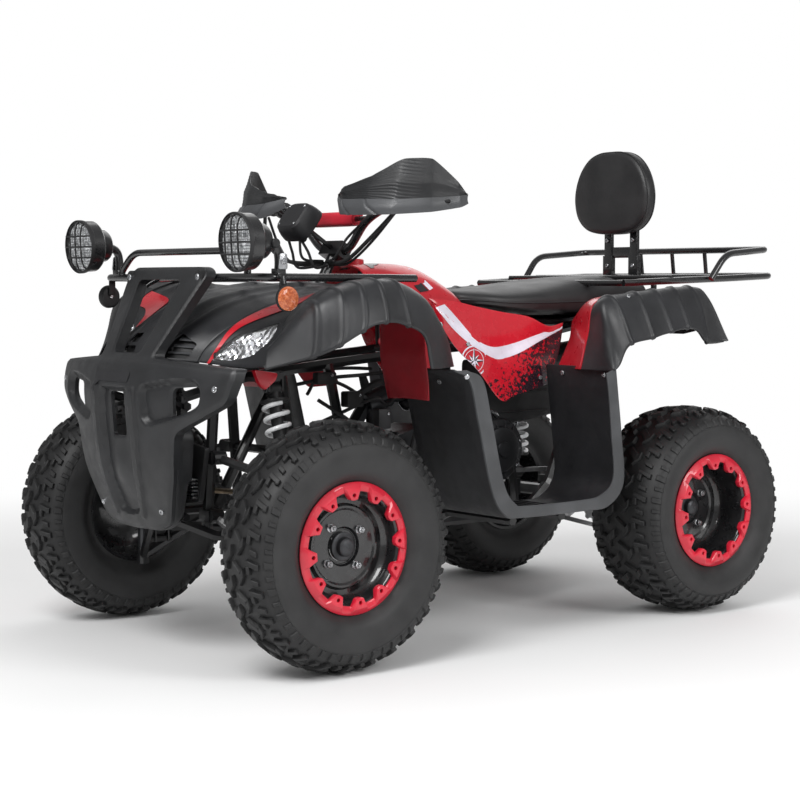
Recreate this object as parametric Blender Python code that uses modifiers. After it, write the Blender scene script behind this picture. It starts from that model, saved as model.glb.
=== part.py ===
"""A straddle-seat utility quad bike, with racks, a bull bar and a backrest.

The ground is z = 0, the front faces -Y and the machine's left side faces +X.
Places on the bodywork are shares: x of the body's width, y of the wheelbase
counted back from the front axle, z of the height of the rear rack's rail.
"""

import math

import bmesh
import bpy
from mathutils import Matrix, Vector

# Driving sizes of the whole machine, in metres.
WHEELBASE = 1.247
FRONT_OVERHANG = 0.32
REAR_OVERHANG = 0.4035
BODY_WIDTH = 1.0
RACK_HEIGHT = 1.0
FRONT_TRACK = 0.948
REAR_TRACK = 0.822
GAP = 0.0003
OVERRUN = 0.012
WELD = 0.00001

# Tyres: front 23x7-10, rear 22x10-10.
FRONT_TYRE_DIAMETER = 0.584
FRONT_TYRE_WIDTH = 0.178
REAR_TYRE_DIAMETER = 0.559
REAR_TYRE_WIDTH = 0.254
LUG_HEIGHT = 0.018
LUG_LENGTH = 0.052
LUG_PITCHES = 9
BEAD_TAPER = 0.0015

# Wheels.
RIM_RADIUS = 0.132
RIM_WALL = 0.005
FLANGE_HEIGHT = 0.008
FLANGE_WIDTH = 0.004
FRONT_RIM_WIDTH = 0.127
REAR_RIM_WIDTH = 0.203
FRONT_DISC_OFFSET = 0.018
REAR_DISC_OFFSET = 0.006
DISC_THICKNESS = 0.006
HUB_RADIUS = 0.036
HUB_LENGTH = 0.05
RING_OUTER_RADIUS = 0.153
RING_INNER_RADIUS = 0.131
RING_BOSS_RADIUS = 0.116
RING_THICKNESS = 0.012
RING_BOSSES = 12
WHEEL_STEPS = 16

# Front axle, steering and suspension.
KINGPIN_INSET = 0.089
SPINDLE_RADIUS = 0.012
PIN_CLEARANCE = 0.0006
KNUCKLE_HEIGHT = 0.2
KNUCKLE_RADIUS = 0.014
STEERING_ARM_LENGTH = 0.075
STEERING_ARM_RISE = 0.1
TIE_ROD_RADIUS = 0.007
TIE_ROD_INNER_X = 0.035
PITMAN_DROP = 0.018
ARM_TUBE_RADIUS = 0.011
BALL_JOINT_RADIUS = 0.017
PITMAN_WIDTH = 0.052
PITMAN_THICKNESS = 0.008
STEM_RADIUS = 0.014
BAR_RADIUS = 0.011
CLAMP_WIDTH = 0.08
BRACE_RADIUS = 0.007
GRIP_RADIUS = 0.0175
PAD_RADIUS = 0.022
POD_WIDTH = 0.11
POD_HEIGHT = 0.1
POD_DEPTH = 0.05
STEM_BASE_HEIGHT = 0.375
STEM_TOP_HEIGHT = 0.948

# Shock absorbers.
COIL_RADIUS = 0.029
COIL_WIRE_RADIUS = 0.0048
COIL_TURNS = 5
COIL_STEPS = 6
DAMPER_RADIUS = 0.011
SPRING_SEAT_RADIUS = 0.034
SPRING_SEAT_THICKNESS = 0.006

# Rear axle.
AXLE_RADIUS = 0.018
PIVOT_RADIUS = 0.015
CARRIER_RADIUS = 0.036
CARRIER_LENGTH = 0.1
SPROCKET_X = 0.078
SPROCKET_RADIUS = 0.078
SPROCKET_TEETH = 14
TOOTH_DEPTH = 0.008
SPROCKET_THICKNESS = 0.006
CHAIN_WIDTH = 0.012
CHAIN_DEPTH = 0.012
CHAIN_ARC_STEPS = 10
BRAKE_DISC_RADIUS = 0.085
DRIVE_SPROCKET_RADIUS = 0.027

# Engine and exhaust.
CRANKCASE_WIDTH = 0.12
LEFT_COVER_RADIUS = 0.069
LEFT_COVER_REACH = 0.155
RIGHT_COVER_RADIUS = 0.078
RIGHT_COVER_REACH = 0.135
COVER_DRAFT = 0.008
CYLINDER_RADIUS = 0.05
FIN_WIDTH = 0.15
FIN_LENGTH = 0.13
FIN_THICKNESS = 0.005
FIN_COUNT = 7
HEAD_WIDTH = 0.13
HEAD_LENGTH = 0.11
HEAD_HEIGHT = 0.055
PIPE_RADIUS = 0.016
PIPE_BEND = 0.06
SILENCER_RADIUS = 0.048
TAILPIPE_RADIUS = 0.02

# Frame tubes.
FRAME_TUBE_RADIUS = 0.0135
CROSS_TUBE_RADIUS = 0.011
SUSPENSION_FRAME_X = 0.105
TAB_THICKNESS = 0.004
STRUT_RADIUS = 0.006
SUPPORT_RADIUS = 0.0125

# Bodywork shells and tubes.
PANEL_THICKNESS = 0.004
DECK_THICKNESS = 0.008
PAD_THICKNESS = 0.055
POST_THICKNESS = 0.012
BUMPER_THICKNESS = 0.027
BUMPER_WALL = 0.012
RIB_HEIGHT = 0.008
RECESS_DEPTH = 0.016
BUMPER_SWEEP = 0.56
RACK_TUBE_RADIUS = 0.0095
SLAT_RADIUS = 0.006
BEND_RADIUS = 0.035
POST_SHARE = 1.1345
BALL_LENGTH_SHARE = 1.7
CUP_SHARE = 1.3
DECK_SHARE = 0.8
PIVOT_SHARE = 0.112
TAIL_SHARE = 1.205
LENS_REACH = 0.05
SIGNAL_RADIUS = 0.03
SIGNAL_THICKNESS = 0.024
POST_WIDTH = 0.03
LAMP_RADIUS = 0.068
LAMP_BACK_RADIUS = 0.062
LAMP_LENS_DEPTH = 0.01
LAMP_FOOT_SIZE = 0.026
BRACKET_THICKNESS = 0.006
CAP_RADIUS = 0.03
TAIL_WIDTH = 0.22
TAIL_HEIGHT = 0.035
TAIL_DEPTH = 0.03
SEAM_GAP = 0.0009
PANEL_BULGE = 0.012

OVERALL_LENGTH = FRONT_OVERHANG + WHEELBASE + REAR_OVERHANG
DECK_HEIGHT = DECK_SHARE * RACK_HEIGHT
PIVOT_HALF_WIDTH = PIVOT_SHARE * BODY_WIDTH
FRONT_AXLE_Y = FRONT_OVERHANG - OVERALL_LENGTH / 2
REAR_AXLE_Y = FRONT_AXLE_Y + WHEELBASE
FRONT_AXLE_Z = FRONT_TYRE_DIAMETER / 2
REAR_AXLE_Z = REAR_TYRE_DIAMETER / 2
KINGPIN_X = FRONT_TRACK / 2 - KINGPIN_INSET
DECK_RAIL_SHARE = (DECK_HEIGHT - DECK_THICKNESS - FRAME_TUBE_RADIUS - GAP) / RACK_HEIGHT

PARTS = None
CUTTERS = None

# Pivots of the wishbones: places along the wheelbase and heights, front then rear.
UPPER_PIVOT_SHARES = ((-0.082, 0.475), (0.085, 0.475))
LOWER_PIVOT_SHARES = ((-0.089, 0.335), (0.094, 0.335))
SHOCK_TOP_SHARES = (0.222, 0.0, 0.640)
SHOCK_FOOT_SHARE = 0.66
REAR_SHOCK_TOP_SHARES = (0.0, 0.80, 0.675)
REAR_CROSS_SHARE = 0.750
TOP_RAIL_SHARE = 0.665


def clear_scene():
    """Empty the scene and make the two collections."""
    global PARTS, CUTTERS
    for item in list(bpy.data.objects):
        bpy.data.objects.remove(item, do_unlink=True)
    PARTS = bpy.data.collections.new("utility_quad_bike")
    CUTTERS = bpy.data.collections.new("cutters")
    bpy.context.scene.collection.children.link(PARTS)
    bpy.context.scene.collection.children.link(CUTTERS)


def place(x_share, y_share, z_share):
    """A point from shares of the body's width, the wheelbase and the rack's height."""
    y = FRONT_AXLE_Y + y_share * WHEELBASE
    return Vector((x_share * BODY_WIDTH, y, z_share * RACK_HEIGHT))


def places(table_shares):
    """The points of a table of shares."""
    return [place(*row) for row in table_shares]


def paint(name, colour, roughness, metallic=0.0):
    """A plain finish."""
    finish = bpy.data.materials.new(name)
    finish.use_nodes = True
    surface = finish.node_tree.nodes["Principled BSDF"]
    surface.inputs["Base Color"].default_value = (*colour, 1.0)
    surface.inputs["Roughness"].default_value = roughness
    surface.inputs["Metallic"].default_value = metallic
    finish.diffuse_color = (*colour, 1.0)
    return finish


def solid_from(shape):
    """A loose solid made of a bmesh, with its faces pointing outwards."""
    bmesh.ops.recalc_face_normals(shape, faces=shape.faces)
    if shape.calc_volume(signed=True) < 0:
        bmesh.ops.reverse_faces(shape, faces=shape.faces)
    mesh = bpy.data.meshes.new("solid")
    shape.to_mesh(mesh)
    shape.free()
    solid = bpy.data.objects.new("solid", mesh)
    CUTTERS.objects.link(solid)
    return solid


def settled(thing, weld=WELD):
    """The evaluated mesh of an object as a new plain solid, welded."""
    graph = bpy.context.evaluated_depsgraph_get()
    mesh = bpy.data.meshes.new_from_object(thing.evaluated_get(graph))
    shape = bmesh.new()
    shape.from_mesh(mesh)
    shape.transform(thing.matrix_world)
    bmesh.ops.remove_doubles(shape, verts=shape.verts, dist=weld)
    bpy.data.meshes.remove(mesh)
    bpy.data.objects.remove(thing, do_unlink=True)
    return solid_from(shape)


def box(centre, size, turn=None):
    """A block of the given size about a point."""
    shape = bmesh.new()
    bmesh.ops.create_cube(shape, size=1)
    shape.transform(Matrix.Diagonal((*size, 1)))
    if turn is not None:
        shape.transform(turn.to_4x4())
    shape.transform(Matrix.Translation(centre))
    return solid_from(shape)


def rod(start, end, radius, end_radius=None, sides=12):
    """A round bar or cone between two points."""
    start = Vector(start)
    line = Vector(end) - start
    shape = bmesh.new()
    bmesh.ops.create_cone(
        shape, cap_ends=True, segments=sides, radius1=radius,
        radius2=radius if end_radius is None else end_radius, depth=line.length)
    shape.transform(line.to_track_quat("Z", "Y").to_matrix().to_4x4())
    shape.transform(Matrix.Translation(start + line / 2))
    return solid_from(shape)


def bent(points, radius, steps=2):
    """A route through the points with each corner rounded by an arc."""
    route = [Vector(points[0])]
    for before, corner, after in zip(points, points[1:], points[2:]):
        inward = (Vector(before) - corner)
        outward = (Vector(after) - corner)
        angle = inward.angle(outward)
        reach = min(radius / math.tan(angle / 2), inward.length / 2.2, outward.length / 2.2)
        first = corner + inward.normalized() * reach
        last = corner + outward.normalized() * reach
        for step in range(steps + 1):
            share = step / steps
            near = first.lerp(corner, share)
            far = Vector(corner).lerp(last, share)
            route.append(near.lerp(far, share))
    route.append(Vector(points[-1]))
    return route


def tube(points, radius, sides=2, bend=None, closed=False, steps=2):
    """A round tube along a route; its section has four corners and two more for each side."""
    route = bent(points, bend, steps) if bend else [Vector(point) for point in points]
    curve = bpy.data.curves.new("tube", "CURVE")
    curve.dimensions = "3D"
    curve.bevel_depth = radius
    curve.bevel_resolution = sides
    curve.use_fill_caps = True
    spline = curve.splines.new("POLY")
    spline.points.add(len(route) - 1)
    for point, position in zip(spline.points, route):
        point.co = (*position, 1)
    spline.use_cyclic_u = closed
    thing = bpy.data.objects.new("tube", curve)
    CUTTERS.objects.link(thing)
    return settled(thing)


def turned(profile, centre, steps=WHEEL_STEPS, closed=True, outward=1):
    """A profile of places along and radii about the X axis, turned about that axis."""
    shape = bmesh.new()
    corners = [shape.verts.new((along * outward, 0, radius)) for along, radius in profile]
    pairs = list(zip(corners, corners[1:]))
    if closed:
        pairs.append((corners[-1], corners[0]))
    for pair in pairs:
        shape.edges.new(pair)
    mesh = bpy.data.meshes.new("profile")
    shape.to_mesh(mesh)
    shape.free()
    thing = bpy.data.objects.new("profile", mesh)
    CUTTERS.objects.link(thing)
    screw = thing.modifiers.new("turn", "SCREW")
    screw.axis = "X"
    screw.steps = steps
    screw.render_steps = steps
    screw.use_merge_vertices = True
    screw.merge_threshold = WELD
    thing.matrix_world = Matrix.Translation(centre)
    bpy.context.view_layer.update()
    return settled(thing)


def plate(loops, thickness, frame):
    """A flat outline with its holes, as thick as given, set in a frame of axes."""
    curve = bpy.data.curves.new("outline", "CURVE")
    curve.dimensions = "2D"
    curve.fill_mode = "BOTH"
    curve.extrude = thickness / 2
    for loop in loops:
        spline = curve.splines.new("POLY")
        spline.points.add(len(loop) - 1)
        for point, (across, up) in zip(spline.points, loop):
            point.co = (across, up, 0, 1)
        spline.use_cyclic_u = True
    thing = bpy.data.objects.new("outline", curve)
    CUTTERS.objects.link(thing)
    thing.matrix_world = frame
    bpy.context.view_layer.update()
    return settled(thing)


def side_frame(x):
    """Axes whose outline runs along Y and Z, at a distance aside."""
    return Matrix(((0, 0, 1, x), (1, 0, 0, 0), (0, 1, 0, 0), (0, 0, 0, 1)))


def front_frame(y):
    """Axes whose outline runs along X and Z, at a distance back."""
    return Matrix(((1, 0, 0, 0), (0, 0, -1, y), (0, 1, 0, 0), (0, 0, 0, 1)))


def shell(rows, thickness, inward=-1):
    """A sheet through rows of points, thickened to one side."""
    shape = bmesh.new()
    grid = [[shape.verts.new(point) for point in row] for row in rows]
    for near, far in zip(grid, grid[1:]):
        for left in range(len(near) - 1):
            a, b, c, d = near[left], near[left + 1], far[left + 1], far[left]
            if a.co.x + b.co.x < 0:
                a, b, c, d = b, c, d, a
            shape.faces.new((a, b, c))
            shape.faces.new((a, c, d))
    mesh = bpy.data.meshes.new("sheet")
    shape.to_mesh(mesh)
    shape.free()
    thing = bpy.data.objects.new("sheet", mesh)
    CUTTERS.objects.link(thing)
    wall = thing.modifiers.new("wall", "SOLIDIFY")
    wall.thickness = thickness
    wall.offset = inward
    wall.use_even_offset = True
    bpy.context.view_layer.update()
    return settled(thing)


def filled(rows, below, above):
    """A cutter along a panel, from a depth behind its rows' surface to a height over it."""
    total = below + above
    return shell(rows, total, (above - below) / total)


def loft(rings):
    """A closed body through rings of equally many points."""
    shape = bmesh.new()
    loops = [[shape.verts.new(point) for point in ring] for ring in rings]
    for near, far in zip(loops, loops[1:]):
        for index in range(len(near)):
            after = (index + 1) % len(near)
            shape.faces.new((near[index], near[after], far[after], far[index]))
    shape.faces.new(loops[0])
    shape.faces.new(loops[-1])
    return solid_from(shape)


def joined(solids):
    """Solids that don't touch each other, as one object to cut or join with."""
    shape = bmesh.new()
    for solid in solids:
        shape.from_mesh(solid.data)
        bpy.data.objects.remove(solid, do_unlink=True)
    return solid_from(shape)


def combine(base, others, operation, solver="EXACT"):
    """The base after a Boolean with each of the others in turn."""
    for other in others:
        step = base.modifiers.new("step", "BOOLEAN")
        step.operation = operation
        step.solver = solver
        step.object = other
    bpy.context.view_layer.update()
    result = settled(base, weld=WELD / 10)
    for other in others:
        bpy.data.objects.remove(other, do_unlink=True)
    return result


def fused(solids, solver="EXACT"):
    """Overlapping solids made one body."""
    return combine(solids[0], solids[1:], "UNION", solver)


def cut(base, holes):
    """A solid with holes taken out."""
    return combine(base, holes, "DIFFERENCE")


def copied(solid, side=1):
    """A copy of a solid, on the other side of the machine where the side is -1."""
    shape = bmesh.new()
    shape.from_mesh(solid.data)
    shape.transform(Matrix.Diagonal((side, 1, 1, 1)))
    return solid_from(shape)


def mirrored(solid):
    """A copy of a solid on the other side of the machine."""
    return copied(solid, -1)


def other_side(points):
    """Points mirrored to the right side."""
    return [Vector((-point[0], point[1], point[2])) for point in points]


def both_sides(row):
    """A row of points from the middle outwards, continued to the other side."""
    return [Vector((-point.x, point.y, point.z)) for point in reversed(row[1:])] + list(row)


def finish(name, solid, material, pivot=None, smooth_angle=35):
    """Name a solid, give it its material and set its origin on its joint's axis."""
    solid.name = name
    solid.data.name = name
    if pivot is not None:
        solid.data.transform(Matrix.Translation(-Vector(pivot)))
        solid.location = pivot
    solid.data.materials.clear()
    solid.data.materials.append(material)
    solid.data.shade_smooth()
    solid.data.set_sharp_from_angle(angle=math.radians(smooth_angle))
    CUTTERS.objects.unlink(solid)
    PARTS.objects.link(solid)
    return solid


def tyre(centre, diameter, width, rim_width, outward):
    """A knobbly tyre: a turned carcass with staggered shoulder and crown lugs."""
    crown = diameter / 2 - LUG_HEIGHT
    wall = crown - RIM_RADIUS
    half = width / 2
    bead = rim_width / 2 - FLANGE_WIDTH - GAP
    side_shares = ((0.97, 0.36), (0.97, 0.74), (0.72, 0.97))
    side = [(bead - BEAD_TAPER, RIM_RADIUS + GAP), (bead, RING_OUTER_RADIUS + BEAD_TAPER)]
    side += [(half * across, RIM_RADIUS + wall * up) for across, up in side_shares]
    profile = side + [(0, crown)] + [(-along, radius) for along, radius in reversed(side)]
    carcass = turned(profile, centre, outward=outward)
    pitch = 2 * math.pi / LUG_PITCHES
    shoulder_share, crown_share = 0.26, 0.36
    shoulder_size = (width * shoulder_share, LUG_LENGTH, LUG_HEIGHT * 2)
    crown_size = (width * crown_share, LUG_LENGTH / 2, LUG_HEIGHT * 2)
    slant = math.radians(28)
    reach = (crown_size[0] * math.sin(slant) + crown_size[1] * math.cos(slant)) / 2
    crown_top = math.sqrt((diameter / 2) ** 2 - reach ** 2) - LUG_HEIGHT
    lugs = []
    for index in range(LUG_PITCHES):
        for sign, phase in ((outward, 0), (-outward, pitch / 2)):
            along = sign * half * (1 - shoulder_share)
            lugs.append((shoulder_size, along, crown, index * pitch + phase, 0))
        lean = slant if index % 2 else -slant
        lugs.append((crown_size, 0, crown_top, index * pitch + pitch / 4, lean))
    blocks = []
    for size, along, height, angle, lean in lugs:
        round_axle = Matrix.Rotation(math.pi + angle, 3, "X")
        turn = round_axle @ Matrix.Rotation(lean, 3, "Z")
        middle = round_axle @ Vector((along, 0, height))
        blocks.append(box(Vector(centre) + middle, size, turn))
    return fused([carcass, joined(blocks)])


def rim_profile(rim_width, disc_offset, bore_radius, hub_end, bore_end):
    """The section of a wheel: barrel with two flanges, disc and bored hub."""
    half = rim_width / 2
    flange = RIM_RADIUS + FLANGE_HEIGHT
    inner = RIM_RADIUS - RIM_WALL
    face = disc_offset + DISC_THICKNESS
    dish_share, well_share = 0.93, 0.7
    outer_side = [
        (hub_end, 0), (hub_end, HUB_RADIUS * dish_share), (face, HUB_RADIUS),
        (face, inner * well_share), (face + DISC_THICKNESS, inner),
        (half, inner), (half, flange), (half - FLANGE_WIDTH, flange),
        (half - FLANGE_WIDTH, RIM_RADIUS)]
    inner_side = [
        (-half + FLANGE_WIDTH, RIM_RADIUS), (-half + FLANGE_WIDTH, flange), (-half, flange),
        (-half, inner), (disc_offset, inner)]
    bore = [(disc_offset, bore_radius), (bore_end, bore_radius), (bore_end, 0)]
    return outer_side + inner_side + bore


def bead_ring(centre, rim_width, outward):
    """The coloured ring on a wheel's outer flange, with bosses reaching inwards."""
    outer = []
    inner = []
    steps = RING_BOSSES * 2
    for step in range(steps):
        angle = 2 * math.pi * step / steps
        outer.append((RING_OUTER_RADIUS * math.cos(angle), RING_OUTER_RADIUS * math.sin(angle)))
    boss_angle = 2 * math.pi / RING_BOSSES
    foot_share, tip_share = 0.30, 0.17
    for boss in range(RING_BOSSES):
        middle = boss * boss_angle
        for share, radius in ((-foot_share, RING_INNER_RADIUS), (-tip_share, RING_BOSS_RADIUS),
                              (tip_share, RING_BOSS_RADIUS), (foot_share, RING_INNER_RADIUS)):
            angle = middle + share * boss_angle
            inner.append((radius * math.cos(angle), radius * math.sin(angle)))
    x = centre[0] + outward * (rim_width / 2 + GAP + RING_THICKNESS / 2)
    ring = plate([outer, inner], RING_THICKNESS, side_frame(x))
    ring.data.transform(Matrix.Translation((0, centre[1], centre[2])))
    return ring


def wheels(finishes):
    """Tyres, rims and rings of the four wheels."""
    spindle_bore = SPINDLE_RADIUS + PIN_CLEARANCE
    axle_bore = AXLE_RADIUS
    corners = (
        ("front", FRONT_TRACK, FRONT_AXLE_Y, FRONT_AXLE_Z, FRONT_TYRE_DIAMETER, FRONT_TYRE_WIDTH,
         FRONT_RIM_WIDTH, FRONT_DISC_OFFSET, spindle_bore),
        ("rear", REAR_TRACK, REAR_AXLE_Y, REAR_AXLE_Z, REAR_TYRE_DIAMETER, REAR_TYRE_WIDTH,
         REAR_RIM_WIDTH, REAR_DISC_OFFSET, axle_bore + GAP))
    for end, track, y, z, diameter, width, rim_width, offset, bore in corners:
        for side, outward in (("left", 1), ("right", -1)):
            centre = (outward * track / 2, y, z)
            hub_end = offset + HUB_LENGTH / 2
            profile = rim_profile(rim_width, offset, bore, hub_end, offset + HUB_LENGTH / 4)
            rubber = tyre(centre, diameter, width, rim_width, outward)
            finish(f"tyre_{end}_{side}", rubber, finishes["rubber"], centre)
            rim = turned(profile, centre, closed=False, outward=outward)
            finish(f"rim_{end}_{side}", rim, finishes["rim"], centre)
            ring = bead_ring(centre, rim_width, outward)
            finish(f"ring_{end}_{side}", ring, finishes["red"], centre)


def shock(top, bottom):
    """A coil-over damper: eyes, body, two spring seats and the spring wound on them."""
    top = Vector(top)
    bottom = Vector(bottom)
    line = bottom - top
    seat_share, end_share, damper_share = 0.14, 0.86, 0.55
    upper = top + line * seat_share
    lower = top + line * end_share
    along = line.normalized()
    aside = along.orthogonal().normalized()
    across = along.cross(aside)
    steps = COIL_STEPS
    route = []
    total = COIL_TURNS * steps
    spring = lower - upper
    for step in range(total + 1):
        angle = 2 * math.pi * step / steps
        spot = aside * math.cos(angle) + across * math.sin(angle)
        route.append(upper + spring * (step / total) + spot * COIL_RADIUS)
    seat = along * SPRING_SEAT_THICKNESS
    middle = top + line * damper_share
    pieces = [
        rod(top, middle, DAMPER_RADIUS, sides=8),
        rod(middle - seat, bottom, DAMPER_RADIUS * 0.7, sides=8),
        rod(upper - seat, upper + seat * 0.5, SPRING_SEAT_RADIUS),
        rod(lower - seat * 0.5, lower + seat, SPRING_SEAT_RADIUS),
        tube(route, COIL_WIRE_RADIUS, sides=0)]
    eye = Vector((0, BALL_JOINT_RADIUS, 0))
    pieces.append(rod(top - eye, top + eye, BALL_JOINT_RADIUS))
    pieces.append(rod(bottom - eye, bottom + eye, BALL_JOINT_RADIUS))
    return fused(pieces)


def kingpin(side, z):
    """A point on the axis about which a front wheel steers."""
    return Vector((side * KINGPIN_X, FRONT_AXLE_Y, z))


def wishbone_pivot(y_share, z_share):
    """The middle of a wishbone's pivot, just outside the frame's suspension post."""
    point = place(0, y_share, z_share)
    point.x = SUSPENSION_FRAME_X * BODY_WIDTH + FRAME_TUBE_RADIUS + BALL_JOINT_RADIUS + GAP
    return point


def clevis(middle, root):
    """A channel that stands on a tube with a wall either side of a pivot's barrel."""
    inner = BALL_JOINT_RADIUS + GAP
    outer = inner + TAB_THICKNESS
    line = middle - root
    along = line.normalized()
    edge_share, web_share, breadth_share = 0.3, 0.5, 1.6
    end = line.length + BALL_JOINT_RADIUS * edge_share
    web = FRAME_TUBE_RADIUS * web_share
    outline = [(-outer, -web), (outer, -web), (outer, end), (inner, end),
               (inner, web), (-inner, web), (-inner, end), (-outer, end)]
    across = Vector((0, 1, 0))
    side = across.cross(along)
    axes = Matrix((across, along, side)).transposed().to_4x4()
    axes.translation = root
    return plate([outline], BALL_JOINT_RADIUS * breadth_share, axes)


def front_suspension(finishes):
    """Two wishbones and a coil-over damper on each side."""
    upper_z = FRONT_AXLE_Z + KNUCKLE_HEIGHT / 2 + GAP
    lower_z = FRONT_AXLE_Z - KNUCKLE_HEIGHT / 2 - GAP
    eye = BALL_JOINT_RADIUS
    upper_tip_share, lower_tip_share, brace_radius_share = 0.75, 1.5, 0.8
    brace_radius = ARM_TUBE_RADIUS * brace_radius_share
    brace_middle = Vector()
    arms = (("arm_upper", UPPER_PIVOT_SHARES, upper_z, eye * upper_tip_share),
            ("arm_lower", LOWER_PIVOT_SHARES, lower_z, -eye * lower_tip_share))
    for name, pivot_shares, z, rise in arms:
        tip = kingpin(1, z + rise)
        front, rear = [wishbone_pivot(*row) for row in pivot_shares]
        barrel = Vector((0, eye, 0))
        pieces = [
            tube([front, tip], ARM_TUBE_RADIUS, 1), tube([rear, tip], ARM_TUBE_RADIUS, 1),
            rod(kingpin(1, z), kingpin(1, z + rise * BALL_LENGTH_SHARE), eye),
            rod(front - barrel, front + barrel, eye), rod(rear - barrel, rear + barrel, eye)]
        near = front.lerp(tip, SHOCK_FOOT_SHARE)
        far = rear.lerp(tip, SHOCK_FOOT_SHARE)
        if name == "arm_lower":
            pieces.append(tube([near, far], brace_radius))
            brace_middle = near.lerp(far, 0.5)
            foot_z = brace_radius + BALL_JOINT_RADIUS + GAP
            shock_foot = brace_middle + Vector((0, 0, foot_z))
            for way in (1, -1):
                aside = Vector((0, way * (BALL_JOINT_RADIUS + GAP + TAB_THICKNESS / 2), 0))
                tab_size = (BALL_JOINT_RADIUS * 1.4, TAB_THICKNESS, foot_z * 1.5)
                pieces.append(box(brace_middle + aside + Vector((0, 0, foot_z / 2)), tab_size))
        left = fused(pieces)
        right = mirrored(left)
        finish(f"{name}_left", left, finishes["frame"])
        finish(f"{name}_right", right, finishes["frame"])
    left = shock(place(*SHOCK_TOP_SHARES), shock_foot)
    right = mirrored(left)
    finish("shock_front_left", left, finishes["spring"])
    finish("shock_front_right", right, finishes["spring"])


def knuckles(finishes):
    """The uprights with spindle and steering arm, and the tie rods on them."""
    half = KNUCKLE_HEIGHT / 2
    arm_z = FRONT_AXLE_Z + STEERING_ARM_RISE * 0.5
    end_z = FRONT_AXLE_Z + STEERING_ARM_RISE
    hub_x = FRONT_TRACK / 2 + FRONT_DISC_OFFSET + HUB_LENGTH / 4 - PIN_CLEARANCE
    arm_end = Vector((KINGPIN_X, FRONT_AXLE_Y - STEERING_ARM_LENGTH, end_z))
    drop = Vector((0, 0, KNUCKLE_RADIUS * 1.4))
    pieces = [
        rod(kingpin(1, FRONT_AXLE_Z - half), kingpin(1, FRONT_AXLE_Z + half), KNUCKLE_RADIUS),
        rod(kingpin(1, FRONT_AXLE_Z), (hub_x, FRONT_AXLE_Y, FRONT_AXLE_Z), SPINDLE_RADIUS, sides=24),
        rod(kingpin(1, FRONT_AXLE_Z), (KINGPIN_X + KNUCKLE_RADIUS * 2, FRONT_AXLE_Y, FRONT_AXLE_Z),
            KNUCKLE_RADIUS * 1.8, KNUCKLE_RADIUS * 1.4),
        tube([kingpin(1, arm_z), arm_end - drop / 2], KNUCKLE_RADIUS * 0.5),
        rod(arm_end - drop, arm_end, KNUCKLE_RADIUS)]
    left = fused(pieces)
    right = mirrored(left)
    finish("knuckle_left", left, finishes["cast"], kingpin(1, FRONT_AXLE_Z))
    finish("knuckle_right", right, finishes["cast"], kingpin(-1, FRONT_AXLE_Z))
    rise = Vector((0, 0, KNUCKLE_RADIUS * 0.9))
    lift = Vector((0, 0, GAP))
    outer = arm_end + rise + lift
    inner = Vector((TIE_ROD_INNER_X, arm_end.y, outer.z - PITMAN_DROP))
    rod_pieces = [
        rod(outer - rise, outer + rise, KNUCKLE_RADIUS), tube([inner, outer], TIE_ROD_RADIUS),
        rod(inner - rise, inner + rise, KNUCKLE_RADIUS)]
    left = fused(rod_pieces)
    right = mirrored(left)
    finish("tie_rod_left", left, finishes["bronze"], outer)
    finish("tie_rod_right", right, finishes["bronze"], Vector((-outer.x, outer.y, outer.z)))


def stem_points():
    """The two ends of the steering stem's axis."""
    base_y_share, top_y_share = 0.003, 0.2707
    base = Vector((0, FRONT_AXLE_Y + base_y_share * WHEELBASE, STEM_BASE_HEIGHT))
    top = Vector((0, FRONT_AXLE_Y + top_y_share * WHEELBASE, STEM_TOP_HEIGHT))
    return base, top


def clamp_point():
    """The middle of the clamp that holds the handlebar, on the stem's axis."""
    base, top = stem_points()
    clamp_share = 1.05
    return base.lerp(top, clamp_share)


def pod_place():
    """Where the instrument pod stands, and how it leans."""
    reach_share, rise_share, pod_lean = -0.0961, 0.0754, math.radians(52)
    offset = Vector((0, reach_share * WHEELBASE, rise_share * RACK_HEIGHT))
    return clamp_point() + offset, Matrix.Rotation(pod_lean, 3, "X")


def guard_rows():
    """The lower and upper edges of the left hand guard."""
    low_shares = ((0.115, 0.223, 1.090), (0.17, 0.195, 1.064), (0.26, 0.192, 1.060),
                  (0.335, 0.218, 1.060), (0.39, 0.283, 1.066), (0.415, 0.340, 1.078),
                  (0.405, 0.367, 1.088))
    high_shares = ((0.115, 0.223, 1.116), (0.17, 0.200, 1.132), (0.265, 0.215, 1.158),
                   (0.33, 0.250, 1.196), (0.378, 0.295, 1.196), (0.41, 0.340, 1.140),
                   (0.40, 0.370, 1.112))
    return [places(low_shares), places(high_shares)]


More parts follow.
